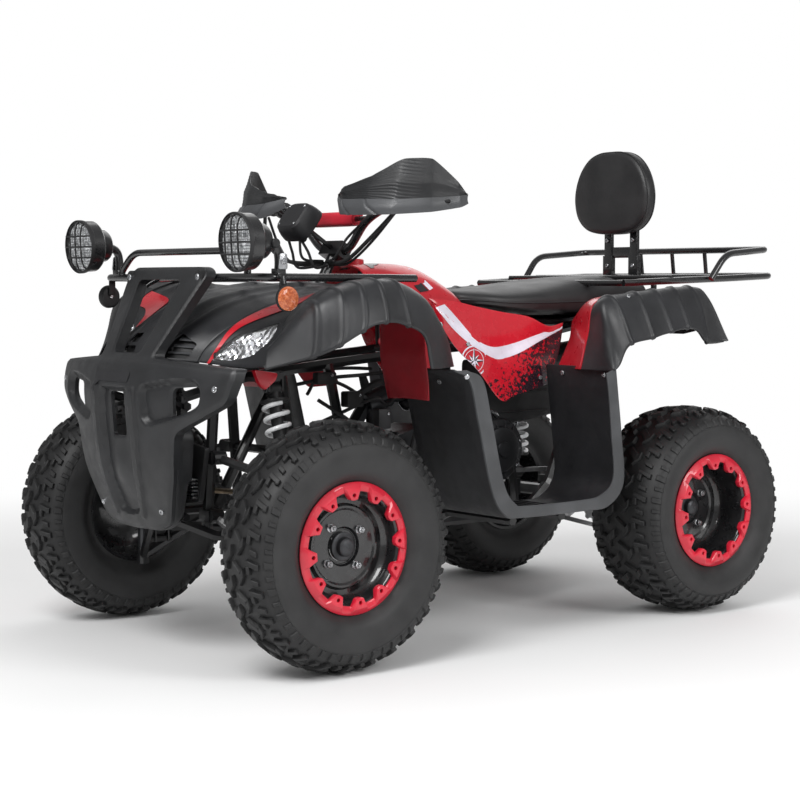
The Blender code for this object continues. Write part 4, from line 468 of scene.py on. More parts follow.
def swept(name, path, radius, finish, sides=12, smooth=50.0):
    """A round body along a path: at each point a circle of that place's radius, with closed ends."""
    path = np.asarray(path, float)
    radius = np.broadcast_to(np.asarray(radius, float), (len(path),))
    _, side, up = frames_along(path)
    angle = np.arange(sides) / sides * 2 * math.pi
    ring = side[:, None] * np.cos(angle)[None, :, None] + up[:, None] * np.sin(angle)[None, :, None]
    grid = path[:, None] + ring * radius[:, None, None]
    points = np.concatenate([grid.reshape(-1, 3), path[:1], path[-1:]])
    faces = [list(face) for face in grid_faces(len(path), sides, False, True)]
    first, last, base = len(points) - 2, len(points) - 1, (len(path) - 1) * sides
    for index in range(sides):
        after = (index + 1) % sides
        faces.append([first, after, index])
        faces.append([last, base + index, base + after])
    return made(name, points, faces, finish, smooth)


def around(count):
    """Equal angles round a circle, the last a step short of the first."""
    return np.linspace(0, 2 * math.pi, count, endpoint=False)


def squared(value, power):
    """The value's size raised to a power, with its sign: a circle's sine and cosine become a
    rounded square's."""
    return np.sign(value) * np.abs(value) ** power


def oblong(left, right, low, high):
    """The corners of an upright rectangle."""
    return [(left, low), (right, low), (right, high), (left, high)]


def laid(piece, spot, way):
    """The piece, made along Z at the origin, moved to a spot and turned to a direction."""
    turn = Vector(way).to_track_quat("Z", "Y").to_matrix().to_4x4()
    piece.data.transform(Matrix.Translation(Vector(spot)) @ turn)
    return piece


def bolt(centre, way, radius=0.006, height=0.004, finish="zinc", socket=True):
    """A cap screw: a turned head with a round edge and a hollow, standing along a direction."""
    hollow = radius * 0.5
    profile = [(0, radius), (height * 0.7, radius), (height, radius * 0.8), (height, hollow)]
    if socket:
        profile += [(height * 0.4, hollow * 0.9), (height * 0.4, AXIS)]
    else:
        profile += [(height * 1.2, AXIS)]
    profile += [(0, AXIS)]
    return laid(turned("bolt", profile, finish, axis=2, steps=12), centre, way)


# Wheels. Each is made with its axle along X and its middle at the origin, then put in place.

RIM_RADIUS = 0.132
PITCHES = 26  # how often the tread's pattern repeats round a tyre
BOSSES = 12  # on a bead ring
BOSS_CIRCLE = 0.1235
WHEELS = {
    "front": {"centre": (0.474, FRONT_AXLE_Y, 0.292), "width": 0.178, "radius": 0.292,
              "half_rim": 0.0635, "disc": 0.018},
    "rear": {"centre": (0.411, REAR_AXLE_Y, 0.2795), "width": 0.254, "radius": 0.2795,
             "half_rim": 0.1015, "disc": 0.006}}


def rubber():
    """Black rubber, dull on the tread; the sidewall is a little paler, with faint moulded ribs."""
    finish = Finish("tyre_rubber", (0.024, 0.024, 0.025), 0.55)
    _, y, z = finish.where()
    back = finish.band(y, -0.01, 0.01)
    front_z, rear_z = WHEELS["front"]["centre"][2], WHEELS["rear"]["centre"][2]
    out_y = y - (back * WHEELBASE + FRONT_AXLE_Y)
    out_z = z - (back * (rear_z - front_z) + front_z)
    radius = (out_y * out_y + out_z * out_z).root()
    side = finish.band(radius, 0.246, 0.236)
    dust = finish.noise(14.0, 4.0, 0.6)
    pale = finish.mix((0.013, 0.013, 0.0135), (0.026, 0.026, 0.0265), finish.band(dust, 0.25, 0.75))
    dark = finish.mix((0.006, 0.006, 0.0065), (0.015, 0.015, 0.0155), finish.band(dust, 0.3, 0.75))
    finish.set("Base Color", finish.mix(dark, pale, side))
    finish.set("Roughness", finish.band(dust, 0.2, 0.8, (0.50, 0.60)))
    ribs = (radius * 2600.0).sine() * finish.band(radius, 0.205, 0.235) * side
    finish.set("Normal", finish.bump(ribs * 0.25 + finish.noise(700.0, 3.0), 0.0006, 0.5))
    return finish


FINISH["rubber"] = rubber()


def tyre(name, width, radius):
    """A balloon tyre: a smooth section through shares of the half width and the wall's height,
    turned about the axle, with staggered blocks raised along the section's normals."""
    half = width / 2
    crown = radius - 0.0105
    wall = crown - RIM_RADIUS
    shares = ((0.91, 0.29), (0.985, 0.46), (0.995, 0.60), (0.962, 0.715), (0.89, 0.815), (0.725, 0.908),
              (0.43, 0.978), (0.0, 1.0))
    beads = (0.66, 0.68) if width < 0.2 else (0.76, 0.775)
    side = [(half * share, out) for share, out in zip(beads, (0.1335, 0.150))]
    side += [(half * across, RIM_RADIUS + wall * up) for across, up in shares]
    curve = catmull(side + [(-along, out) for along, out in reversed(side[:-1])], 5)
    pieces = [turned("carcass", curve, "rubber", steps=120, closed=False, smooth=60)]
    tread = catmull(side, 24)[5 * 24:][::-1]
    step = np.linalg.norm(np.diff(tread, axis=0), axis=1)
    arc = np.concatenate([[0], np.cumsum(step)])
    share = arc / arc[-1]
    slope = np.gradient(tread, axis=0)
    normal = np.stack([-slope[:, 1], slope[:, 0]], 1)
    normal /= np.linalg.norm(normal, axis=1, keepdims=True)
    normal *= np.where(normal[:, 1:] * tread[:, 1:] + normal[:, :1] * tread[:, :1] < 0, -1, 1)
    pitch = 2 * math.pi / PITCHES

    def block(near, far, start, end, lean, height, hand, phase, columns=3, draft=0.0016):
        """A raised block: shares across the tread, shares of a pitch round it, its lean and height;
        its sides step in by the draft from the foot to the shoulder and again to the top."""
        long_way = (far - near) * arc[-1]
        round_way = (end - start) * pitch * crown
        a = np.array([-draft, 0, draft * 0.8, *np.linspace(0, 1, columns + 1)[1:-1] * long_way,
                      long_way - draft * 0.8, long_way, long_way + draft])
        b = np.array([-draft, 0, draft * 0.8, round_way - draft * 0.8, round_way, round_way + draft])
        level = np.array([-0.002, height - draft * 0.7, height])
        rise_a, rise_b = (level[np.minimum(np.minimum(np.arange(n), np.arange(n)[::-1]), 2)]
                          for n in (len(a), len(b)))
        rise = np.minimum(rise_a[:, None], rise_b[None, :])
        across = np.clip(near + a / arc[-1], -0.3, 1.02)[:, None] + 0 * b
        angle = (start + phase) * pitch + b[None, :] / crown + lean * pitch * (across - near) / (far - near)
        sign = np.sign(across) + (across == 0)
        at = np.abs(across)
        along = np.interp(at, share, tread[:, 0]) * sign
        out = np.interp(at, share, tread[:, 1])
        lift_x = np.interp(at, share, normal[:, 0]) * sign
        lift_r = np.interp(at, share, normal[:, 1])
        along = (along + lift_x * rise) * hand
        out = out + lift_r * rise
        points = np.stack([along, out * np.cos(angle), out * np.sin(angle)], 2)
        return points.reshape(-1, 3), grid_faces(*points.shape[:2])

    points, faces = [], []
    count = 0
    for ring in range(PITCHES):
        for hand, phase in ((1, 0.0), (-1, 0.5)):
            for shape in ((0.03, 0.26, 0.10, 0.42, 0.34, 0.0104), (0.20, 0.34, 0.62, 0.90, -0.30, 0.0100),
                          (0.43, 0.70, 0.02, 0.20, 0.16, 0.0096), (0.43, 0.51, 0.20, 0.46, 0.05, 0.0096),
                          (0.62, 0.70, 0.16, 0.36, 0.0, 0.0078), (0.50, 0.66, 0.66, 0.82, 0.10, 0.0076),
                          (0.80, 0.985, 0.10, 0.34, 0.04, 0.0046), (0.82, 0.985, 0.64, 0.80, 0.02, 0.0034)):
                block_points, block_faces = block(*shape, hand, phase + ring)
                points.append(block_points)
                faces.append(block_faces + count)
                count += len(block_points)
    pieces.append(made("blocks", np.concatenate(points), np.concatenate(faces), "rubber", 30))
    edge = tread[-1]
    for hand in (1, -1):
        ring = [(hand * (edge[0] + 0.0014 * math.cos(a)), edge[1] + 0.0014 * math.sin(a))
                for a in np.linspace(0, 2 * math.pi, 8, endpoint=False)]
        pieces.append(turned("edge", ring, "rubber", steps=120))
    return merged(name, pieces)


def rim(name, half, disc):
    """A steel wheel: its section runs from the hub's hole over the stepped disc and the barrel to
    both flanges and back behind the disc, and is turned about the axle."""
    face = disc + 0.006
    outer = [(face - 0.008, 0.034), (face - 0.008, 0.040), (face, 0.046), (face, 0.084), (face + 0.004, 0.089),
             (face + 0.004, 0.094), (face - 0.004, 0.100), (face - 0.004, 0.112), (face + 0.004, 0.121),
             (face + 0.018, 0.1265), (half - 0.010, 0.1270), (half - 0.004, 0.1295), (half - 0.001, 0.1340),
             (half, 0.1380), (half - 0.001, 0.1400), (half - 0.003, 0.1402), (half - 0.0043, 0.1385),
             (half - 0.0045, 0.1325)]
    inner = [(-half + 0.0045, 0.1325), (-half + 0.0043, 0.1385), (-half + 0.002, 0.1400), (-half, 0.1385),
             (-half + 0.004, 0.1300), (-half + 0.012, 0.1270), (disc - 0.008, 0.1262), (disc - 0.010, 0.110),
             (disc, 0.094), (disc, 0.040), (disc - 0.012, 0.034)]
    pieces = [turned("wheel", outer + inner, "rim", steps=96, smooth=28)]
    cap = [(face - 0.008, 0.0335), (face + 0.002, 0.0335), (face + 0.004, 0.030), (face + 0.004, 0.0225),
           (face + 0.016, 0.0215), (face + 0.0195, 0.0185), (face + 0.0215, 0.012), (face + 0.0222, 0.005),
           (face + 0.0230, 0.0042), (face + 0.0230, AXIS), (face - 0.008, AXIS)]
    pieces.append(turned("cap", cap, "cast", steps=32))
    for index in range(4):
        angle = math.radians(38 + 90 * index)
        middle = (face, 0.058 * math.cos(angle), 0.058 * math.sin(angle))
        flange = [(0, 0.0105), (0.0022, 0.0105), (0.0034, 0.0092), (0.0034, AXIS), (0, AXIS)]
        nut = [(0.003, 0.0088), (0.012, 0.0088), (0.0138, 0.0068), (0.0138, 0.0046), (0.009, 0.0046),
               (0.009, 0.0034), (0.0150, 0.0034), (0.0158, 0.0024), (0.0158, AXIS), (0.003, AXIS)]
        pieces.append(turned("flange", flange, "zinc", middle, steps=16))
        pieces.append(turned("nut", nut, "zinc", middle, steps=6, smooth=20))
    return merged(name, pieces)


def bead_ring(name, half):
    """The coloured ring: a polar grid of 12 bosses. Its height over the flange is high on each
    boss, low in the valleys between, and slopes off towards the rim; a hole is cut in each boss."""
    low = half + 0.0004
    offsets = np.array([-15, -12, -9.8, -8.2, -4, 0, 4, 8.2, 9.8, 12])
    boss = np.array([0, 0, 0, 1, 1, 1, 1, 1, 0, 0])
    reach = np.array([0, 0, 0, 0.0175, 0.0195, 0.0198, 0.0195, 0.0175, 0, 0])
    radii = np.linspace(0, 1, 9)
    tops = []
    for ring in range(BOSSES):
        for offset, high, far in zip(offsets, boss, reach):
            inner = 0.1315 - far
            radius = inner + (0.1526 - inner) * radii
            narrow = np.interp(radius, [0.112, 0.138], [0.52, 1.0]) if high or abs(offset) == 9.8 else 1
            angle = np.radians(ring * 30 + 4 + offset * narrow)
            valley = np.interp(radius, [0.131, 0.136, 0.146, 0.1526], [0.0044, 0.0060, 0.0072, 0.0030])
            top = np.interp(radius, [0.1115, 0.1140, 0.1370, 0.1526], [0.0122, 0.0146, 0.0146, 0.0034])
            tops.append(np.stack([low + np.where(high, top, valley),
                                  radius * np.cos(angle), radius * np.sin(angle)], 1))
    top = np.array(tops)
    base = top.copy()
    base[:, :, 0] = low
    section = np.concatenate([top, base[:, ::-1]], 1)
    body = made("ring", section.reshape(-1, 3), grid_faces(*section.shape[:2], True, True), "ring", 22)

    def on_bosses(kind, profile, finish, lift, steps):
        angles = [math.radians(index * 30 + 4) for index in range(BOSSES)]
        spots = [(low + lift, BOSS_CIRCLE * math.cos(a), BOSS_CIRCLE * math.sin(a)) for a in angles]
        return [turned(kind, profile, finish, spot, steps=steps) for spot in spots]

    drill = [(0, 0.0050), (0.02, 0.0050), (0.02, AXIS), (0, AXIS)]
    tool = merged("drills", on_bosses("drill", drill, "ring", 0.005, 14))
    applied(body, ("BOOLEAN", {"operation": "DIFFERENCE", "object": tool, "solver": "EXACT"}))
    bpy.data.objects.remove(tool, do_unlink=True)
    applied(body, softened(0.0007, 2, 25))
    screw = [(0, 0.0040), (0.0016, 0.0040), (0.0016, 0.002), (0.0006, 0.0018), (0.0006, AXIS), (0, AXIS)]
    return merged(name, [coated(body, "ring")] + on_bosses("bolt", screw, "soft_black", 0.0051, 10))


def put_wheels():
    """The four wheels: on the right the same shapes mirrored."""
    bodies = {"front_left": "wheel_front_left", "front_right": "wheel_front_right",
              "rear_left": "rear_wheels", "rear_right": "rear_wheels"}
    for end, sizes in WHEELS.items():
        parts = (("tyre", "tyre", tyre(f"fine_tyre_{end}_left", sizes["width"], sizes["radius"])),
                 ("rim", "rim", rim(f"fine_rim_{end}_left", sizes["half_rim"], sizes["disc"])),
                 ("ring", "ring", bead_ring(f"fine_ring_{end}_left", sizes["half_rim"])))
        for kind, slot, piece in parts:
            piece.data.transform(Matrix.Translation(sizes["centre"]))
            twin = mirrored(piece, f"fine_{kind}_{end}_right")
            for obj, side in ((piece, "left"), (twin, "right")):
                worn(obj, bodies[f"{end}_{side}"], slot, f"{kind}_{end}_{side}")


put_wheels()


# Helpers for the bodywork.

def rounded(points, reach, steps=4, closed=True):
    """A route with its corners rounded: near each corner a curve from one side to the other."""
    p = np.asarray(points, float)
    n = len(p)
    out = []
    for index in range(n):
        if not closed and index in (0, n - 1):
            out.append(p[index])
            continue
        before, after = p[index - 1] - p[index], p[(index + 1) % n] - p[index]
        a, b = np.linalg.norm(before), np.linalg.norm(after)
        near = min(reach, a * 0.48, b * 0.48)
        first, last = p[index] + before / a * near, p[index] + after / b * near
        for t in np.linspace(0, 1, steps + 1):
            out.append((1 - t) ** 2 * first + 2 * t * (1 - t) * p[index] + t * t * last)
    return np.array(out)


def prism(outline, low, high, axis=1):
    """A flat-sided solid: an outline seen along an axis, from one place on it to another."""
    outline = np.asarray(outline, float)
    layers = []
    for place_on in (low, high):
        columns = [outline[:, 0], outline[:, 1]]
        columns.insert(axis, np.full(len(outline), place_on))
        layers.append(np.stack(columns, 1))
    n = len(outline)
    faces = grid_faces(2, n, False, True).tolist() + [list(range(n)), list(range(2 * n - 1, n - 1, -1))]
    return made("prism", np.concatenate(layers), faces, "plastic", None)


def blocky(outline, low, high, axis, edge, finish):
    """A prism with its edges rounded, in a finish."""
    return coated(applied(prism(outline, low, high, axis), softened(edge)), finish)


def carved(obj, tools, operation="DIFFERENCE", solver="EXACT"):
    """The object after a Boolean with each tool; the tools go."""
    for tool in tools:
        applied(obj, ("BOOLEAN", {"operation": operation, "object": tool, "solver": solver}))
        bpy.data.objects.remove(tool, do_unlink=True)
    return obj


def halves(table):
    """A whole outline from the half on the left, as places aside and heights."""
    half = np.asarray(table, float)
    other = half[half[:, 0] > 0][::-1] * [-1, 1]
    return np.concatenate([half, other])


def inside(points, outline):
    """How far each point is inside an outline: the distance to its nearest side, negative outside."""
    a = np.asarray(outline, float)
    b = np.roll(a, -1, 0)
    p = points[..., None, :]
    side = b - a
    t = np.clip(((p - a) * side).sum(-1) / np.maximum((side ** 2).sum(-1), 1e-12), 0, 1)
    far = np.linalg.norm(p - a - side * t[..., None], axis=-1).min(-1)
    x, z = points[..., 0, None], points[..., 1, None]
    crosses = (a[:, 1] > z) != (b[:, 1] > z)
    rise = np.where(b[:, 1] == a[:, 1], 1e-12, b[:, 1] - a[:, 1])
    hits = crosses & (x < (b[:, 0] - a[:, 0]) * (z - a[:, 1]) / rise + a[:, 0])
    return np.where(hits.sum(-1) % 2 == 1, far, -far)


def eased(value):
    """The smooth step 3 v^2 - 2 v^3 of a value kept between 0 and 1."""
    value = np.clip(value, 0, 1)
    return value * value * (3 - 2 * value)


def on(piece, point):
    """The nearest place on a piece and its normal."""
    _, spot, normal, _ = piece.closest_point_on_mesh(Vector(point))
    return np.array(spot), np.array(normal)


def bolts_on(piece, points, radius=0.006, height=0.004, finish="zinc"):
    """Screws at the places on a piece nearest to the points, a little sunk."""
    heads = []
    for point in points:
        spot, normal = on(piece, point)
        heads.append(bolt(spot - normal * 0.0005, normal, radius, height, finish))
    return heads


def decal(name, piece, rows, finish, lift=0.0007, steps=(8, 5), shift=(0, 0, 0)):
    """A thin strip laid on a piece: each point of its smooth grid goes to the nearest place there."""
    grid = catmull(np.asarray(rows, float) + np.asarray(shift, float), steps[0])
    grid = np.swapaxes(straight(np.swapaxes(grid, 0, 1), steps[1]), 0, 1)
    flat = grid.reshape(-1, 3)
    for index, point in enumerate(flat):
        spot, normal = on(piece, point)
        flat[index] = spot + normal * lift
    sheet = made(name, flat, grid_faces(*grid.shape[:2]), finish, 60)
    first = sheet.data.polygons[0]
    if Vector(first.normal).dot(Vector(on(piece, first.center)[1])) < 0:
        sheet.data.flip_normals()
    applied(sheet, ("SOLIDIFY", {"thickness": 0.0005, "offset": -1.0}))
    return coated(sheet, finish)


FINISH.update({
    "grey": grained("grey_plastic", (0.060, 0.062, 0.066), 0.36, grain=1000.0),
    "dark": grained("dark_plastic", (0.014, 0.014, 0.016), 0.5),
    "white": painted("stripe_print", (0.78, 0.74, 0.84), 0.3, coat=0.6),
    "black_print": painted("black_print", (0.015, 0.012, 0.016), 0.3, coat=0.7),
})


def printed_red():
    """Red with a print of dark specks that thickens towards the rear and under the stripe."""
    finish = painted("printed_red", (0.60, 0.008, 0.022), 0.24, coat=0.85, spread=0.06, peel=120.0)
    _, y, z = finish.where()
    under = finish.band(z - (y * 0.30 + 0.676), 0.006, -0.004)
    tail = finish.band(y, 0.02, 0.30)
    lower = finish.band(z - (y * 0.10 + 0.60), 0.07, -0.01)
    speck = finish.noise(95.0, 5.0, 0.68)
    share = finish.band(speck + (tail * 0.26) + (lower * 0.10) - 0.64, 0.0, 0.02) * under
    finish.set("Base Color", finish.mix((0.58, 0.008, 0.022), (0.022, 0.010, 0.016), share))
    return finish


FINISH["printed"] = printed_red()


# The rows of points that the bodywork's panels run through.

HOOD = [both_sides(places(row)) for row in (
    ((0, -0.197, 0.715), (0.10, -0.185, 0.712), (0.17, -0.145, 0.708)),
    ((0, -0.178, 0.760), (0.10, -0.170, 0.755), (0.18, -0.128, 0.745)),
    ((0, -0.141, 0.800), (0.10, -0.127, 0.795), (0.195, -0.093, 0.785)),
    ((0, -0.061, 0.850), (0.10, -0.053, 0.845), (0.21, -0.029, 0.828)),
    ((0, 0.027, 0.875), (0.10, 0.027, 0.870), (0.22, 0.043, 0.858)),
    ((0, 0.131, 0.892), (0.10, 0.131, 0.888), (0.225, 0.139, 0.878)),
    ((0, 0.200, 0.898), (0.10, 0.200, 0.893), (0.228, 0.205, 0.885)))]
SEAM = np.array([0.0009, 0.0, 0.0])
WING = [np.concatenate([[hood[-1] + SEAM], places(row)]) for hood, row in zip(HOOD, (
    ((0.26, -0.095, 0.697), (0.345, -0.075, 0.700)),
    ((0.26, -0.085, 0.752), (0.352, -0.060, 0.755)),
    ((0.28, -0.060, 0.795), (0.360, -0.040, 0.815)),
    ((0.29, -0.010, 0.840), (0.368, 0.003, 0.860)),
    ((0.30, 0.050, 0.868), (0.373, 0.051, 0.885)),
    ((0.30, 0.125, 0.885), (0.378, 0.115, 0.899)),
    ((0.30, 0.190, 0.886), (0.378, 0.190, 0.885))))]
WING += [places(row) for row in (((0.228, 0.262, 0.852), (0.30, 0.238, 0.853), (0.379, 0.232, 0.850)),
                                 ((0.225, 0.318, 0.800), (0.30, 0.268, 0.800), (0.380, 0.255, 0.800)))]
FRONT_RIDGE = places(((0.362, -0.089, 0.742), (0.420, -0.053, 0.800), (0.455, -0.017, 0.848),
                      (0.470, 0.030, 0.874), (0.475, 0.101, 0.890), (0.475, 0.154, 0.885),
                      (0.470, 0.210, 0.855), (0.465, 0.244, 0.812), (0.462, 0.272, 0.760), (0.460, 0.290, 0.692)))
FRONT_LOWER = places(((0.380, -0.105, 0.700), (0.470, -0.041, 0.735), (0.505, 0.003, 0.768),
                      (0.520, 0.049, 0.801), (0.525, 0.095, 0.811), (0.525, 0.140, 0.801),
                      (0.520, 0.176, 0.782), (0.517, 0.192, 0.755), (0.513, 0.201, 0.725), (0.510, 0.209, 0.692)))
REAR_OUTER = places(((0.390, 0.694, 0.668), (0.395, 0.712, 0.760), (0.398, 0.729, 0.840),
                     (0.398, 0.821, 0.858), (0.398, 0.98, 0.865), (0.398, 1.028, 0.848), (0.396, 1.090, 0.765)))
REAR_MIDDLE = places(((0.30, 0.729, 0.664), (0.30, 0.753, 0.750), (0.30, 0.777, 0.835),
                      (0.30, 0.853, 0.852), (0.30, 0.997, 0.858), (0.30, 1.10, 0.845), (0.30, 1.17, 0.77)))
REAR_INNER = places(((0.240, 0.745, 0.668), (0.232, 0.785, 0.740), (0.214, 0.812, 0.795),
                     (0.20, 0.869, 0.806), (0.20, 0.997, 0.810), (0.20, 1.18, 0.810), (0.20, 1.205, 0.77)))
REAR_RIDGE = places(((0.470, 0.700, 0.668), (0.462, 0.702, 0.760), (0.455, 0.712, 0.838),
                     (0.455, 0.790, 0.857), (0.455, 0.969, 0.876), (0.455, 1.028, 0.849), (0.445, 1.100, 0.737)))
REAR_LOWER = places(((0.500, 0.700, 0.668), (0.500, 0.715, 0.690), (0.502, 0.739, 0.740),
                     (0.508, 0.800, 0.757), (0.510, 0.926, 0.782), (0.505, 0.984, 0.743), (0.490, 1.053, 0.735)))


def flares():
    """The mudguards: each through its inner edge, ridge, lower edge and a lip rolled under, with
    grooves across it, a dip of a bell's shape along a line from the ridge to the lower edge."""
    def grooves(lines, depth=0.0036, width=0.0040):
        def relief(u, v, grid):
            near = 1 + 0 * u
            for ridge_y, lower_y in lines:
                line = ridge_y + (u - 0.36) / 0.36 * (lower_y - ridge_y)
                near = np.minimum(near, np.abs(grid[..., 1] - line))
            panels = 0.0014 * (1 - np.exp(-(near / 0.020) ** 2)) - 0.0014 - depth * np.exp(-(near / width) ** 2)
            return panels * eased(u / 0.15) + 0.0024 * eased((u - 0.80) / 0.05)
        return relief

    lip = np.array([-0.010, 0.0, 0.004])
    inner = np.concatenate([[row[-1] + SEAM for row in WING[1:]],
                            places(((0.380, 0.271, 0.770), (0.385, 0.308, 0.692)))])
    front = skin("flare", [inner, FRONT_RIDGE, FRONT_LOWER, FRONT_LOWER + lip], "flare", 0.0035, (16, 36),
                 relief=grooves(((-0.702, -0.722), (-0.650, -0.672), (-0.597, -0.620), (-0.545, -0.560),
                                 (-0.491, -0.495))))
    rear = skin("flare", [REAR_OUTER + 2 * SEAM, REAR_RIDGE, REAR_LOWER, REAR_LOWER + lip], "flare", 0.0035, (12, 40),
                relief=grooves(((0.251, 0.267), (0.340, 0.342), (0.410, 0.412), (0.480, 0.474), (0.548, 0.556))))
    heads = bolts_on(front, ((0.418, -0.744, 0.772), (0.472, -0.640, 0.869), (0.46, -0.33, 0.80)))
    heads += bolts_on(rear, ((0.440, 0.219, 0.808), (0.457, 0.304, 0.858), (0.436, 0.212, 0.70)))
    pair(merged("bolts", heads), "flare_bolts_{}", "root", "plastic")
    pair(front, "fine_flare_front_{}", "root", "plastic", "flare_front_{}")
    pair(rear, "fine_flare_rear_{}", "root", "plastic", "flare_rear_{}")


def headlight(wing):
    """The left headlight: a clear cover cut from the wing's surface over a bright bowl, which is the
    same surface sunk by two round hollows, with a dark frame round them."""
    lens = places(((0.185, -0.118, 0.712), (0.235, -0.095, 0.775), (0.345, -0.050, 0.806),
                   (0.335, -0.060, 0.765), (0.285, -0.082, 0.722), (0.225, -0.100, 0.706)))
    lens = rounded(lens, 0.016, 4)
    away = np.array([0.35, -1, 0.25])
    away *= 0.05 / np.linalg.norm(away)
    middle = lens.mean(0)

    def tool(grow):
        rim = middle + (lens - middle) * grow
        n = len(rim)
        faces = grid_faces(2, n, False, True).tolist() + [list(range(n)), list(range(2 * n - 1, n - 1, -1))]
        return made("tool", np.concatenate([rim + away, rim - away]), faces, "plastic", None)

    def bowl(u, v, grid):
        rise = np.full(u.shape, -0.010)
        for x, z, size in ((0.295, 0.772, 0.030), (0.232, 0.735, 0.024)):
            far = np.hypot(grid[..., 0] - x, grid[..., 2] - z) / size
            rise = rise - 0.016 * np.sqrt(np.clip(1 - far * far, 0, 1))
        return rise

    cover = carved(skin("cover", WING, "plastic", 0.0025, (5, 8), edge=0), [tool(0.985)], "INTERSECT")
    back = carved(skin("bowl", WING[:5], "chrome", 0.002, (14, 26), relief=bowl, edge=0), [tool(1.0)], "INTERSECT")
    frame_ring = carved(skin("rim", WING, "dark", 0.014, (5, 8), edge=0), [tool(1.005)], "INTERSECT")
    carved(frame_ring, [tool(0.93)])
    carved(wing, [tool(1.012)])
    glass = Finish("clear_cover", (0.95, 0.95, 0.96), 0.02, Transmission_Weight=1.0, IOR=1.45, coat=0.3)
    wave = glass.noise(60.0, 1.0)
    glass.set("Roughness", glass.band(wave, 0.3, 0.7, (0.01, 0.03)))
    reflector = Finish("bright_bowl", (0.86, 0.87, 0.88), 0.10, 0.9)
    x, _, z = reflector.where()
    facet = (x * 420.0).sine() * (z * 260.0).sine()
    cell = reflector.cells(70.0)
    # Dark in the middle of each dimple and bright at its rim, following the bump: painted shade in the dimples and
    # painted glints on the rims.
    reflector.set("Base Color", reflector.mix((0.35, 0.36, 0.38), (0.90, 0.91, 0.92), reflector.band(cell, 0.1, 0.5)))
    reflector.set("Normal", reflector.bump(facet * 0.5 + cell, 0.003, 0.8))
    coated(cover, glass)
    coated(back, reflector)
    bulbs = []
    for x, z, size in ((0.295, 0.772, 0.009), (0.232, 0.735, 0.007)):
        spot, normal = on(back, (x, -0.80, z))
        bulbs.append(bolt(spot, -away, size, 0.014, "chrome", False))
    return [cover, back, coated(frame_ring, "dark")] + bulbs


def front_end():
    """The wings with their headlights and red bands, and the nose cover with its louvres."""
    wing = skin("wing", WING, "flare", steps=(6, 8))
    lamp = headlight(wing)
    near = np.array([(0.192, -0.832, 0.700), (0.206, -0.810, 0.743), (0.210, -0.782, 0.779), (0.211, -0.746, 0.804),
                     (0.226, -0.704, 0.827), (0.248, -0.664, 0.845), (0.293, -0.641, 0.856), (0.372, -0.640, 0.876)])
    far = np.array([(0.200, -0.830, 0.700), (0.214, -0.807, 0.740), (0.224, -0.784, 0.770), (0.236, -0.757, 0.792),
                    (0.262, -0.727, 0.811), (0.300, -0.700, 0.824), (0.345, -0.690, 0.836), (0.373, -0.650, 0.872)])
    band = decal("band", wing, np.stack([near, far], 1), "red", 0.0022, (10, 6), (0, -0.004, 0.004))
    # The flap behind the wing is in the darkened red, which is painted shade.
    outline = rounded([place(0, y, z)[1:] for y, z in ((0.250, 0.750), (0.312, 0.806), (0.330, 0.800),
                                                       (0.378, 0.776), (0.430, 0.613), (0.344, 0.609))], 0.012)
    flap = applied(prism(outline, 0.2245, 0.2285, 0), softened(0.0012))
    fang = prism(rounded([place(0, y, z)[1:] for y, z in ((-0.060, 0.690), (-0.005, 0.680), (-0.010, 0.662),
                                                          (-0.035, 0.640), (-0.048, 0.655))], 0.006), 0.238, 0.252, 0)
    # The apron under the wing is in the darkened red, which is painted shade.
    apron_rows = [[place(x, y, z) for x, z in ((0.24, z0), (0.31, z0 + 0.004), (far, z0 + 0.002))]
                  for y, z0, far in ((0.250, 0.842, 0.372), (0.255, 0.80, 0.400), (0.252, 0.72, 0.415),
                                     (0.262, 0.655, 0.412), (0.272, 0.606, 0.400))]
    apron = skin("apron", apron_rows, "painted_shade_red", 0.003, (6, 4))
    shell = merged("shell", [wing, band, coated(flap, "painted_shade_red"), coated(applied(fang, softened(0.002)), "red"), apron])
    pair(shell, "fine_front_body_{}", "root", "red", "front_body_{}")
    pair(merged("headlight", lamp), "fine_headlight_{}", "root", "lens", "headlight_{}")

    def ridges(u, v, grid):
        x, y = np.abs(grid[..., 0]), grid[..., 1]
        line = 0.052 + 0.05 * eased((y + 0.90) / 0.45)
        scoop = np.exp(-((x - line) / 0.016) ** 2) * 0.010 * eased((y + 0.88) / 0.06) * eased((-0.42 - y) / 0.1)
        crease = np.exp(-((x - line - 0.055) / 0.010) ** 2) * 0.005 * eased((-0.45 - y) / 0.1)
        return scoop + crease

    hood = skin("hood", HOOD, "flare", 0.0035, (10, 16), relief=ridges)
    slots = []
    for slot in (((0.020, 0.722), (0.085, 0.720), (0.075, 0.742), (0.020, 0.744)),
                 ((0.020, 0.752), (0.070, 0.750), (0.060, 0.772), (0.020, 0.774)),
                 ((0.100, 0.718), (0.150, 0.716), (0.160, 0.750), (0.115, 0.775))):
        for side in (1, -1):
            slots.append(prism(rounded(np.array(slot) * [side, 1], 0.006), -1.0, -0.70))
    carved(hood, slots)
    louvres = []
    for index, height in enumerate((0.728, 0.743, 0.758)):
        start = place(0.098 + 0.008 * index, -0.172 + 0.009 * index, height)
        end = place(0.160 + 0.006 * index, -0.138 + 0.008 * index, height - 0.004)
        louvre = prism([(-0.004, 0), (0.012, 0.006), (0.013, 0.009), (-0.004, 0.003)],
                       0, float(np.linalg.norm(end - start)), 0)
        turn = Vector(end - start).to_track_quat("X", "Z").to_matrix().to_4x4()
        louvre.data.transform(Matrix.Translation(Vector(start)) @ turn)
        louvres.append(coated(louvre, "grey"))
    backing = skin("backing", HOOD, "soft_black", 0.002, (5, 8), relief=lambda u, v, grid: 0 * u - 0.012, edge=0)
    grilles = merged("grilles", louvres)
    twin = mirrored(grilles, "twin")
    worn(merged("fine_nose_cover", [coated(hood, "flare"), backing, grilles, twin]), "root", "plastic", "nose_cover")


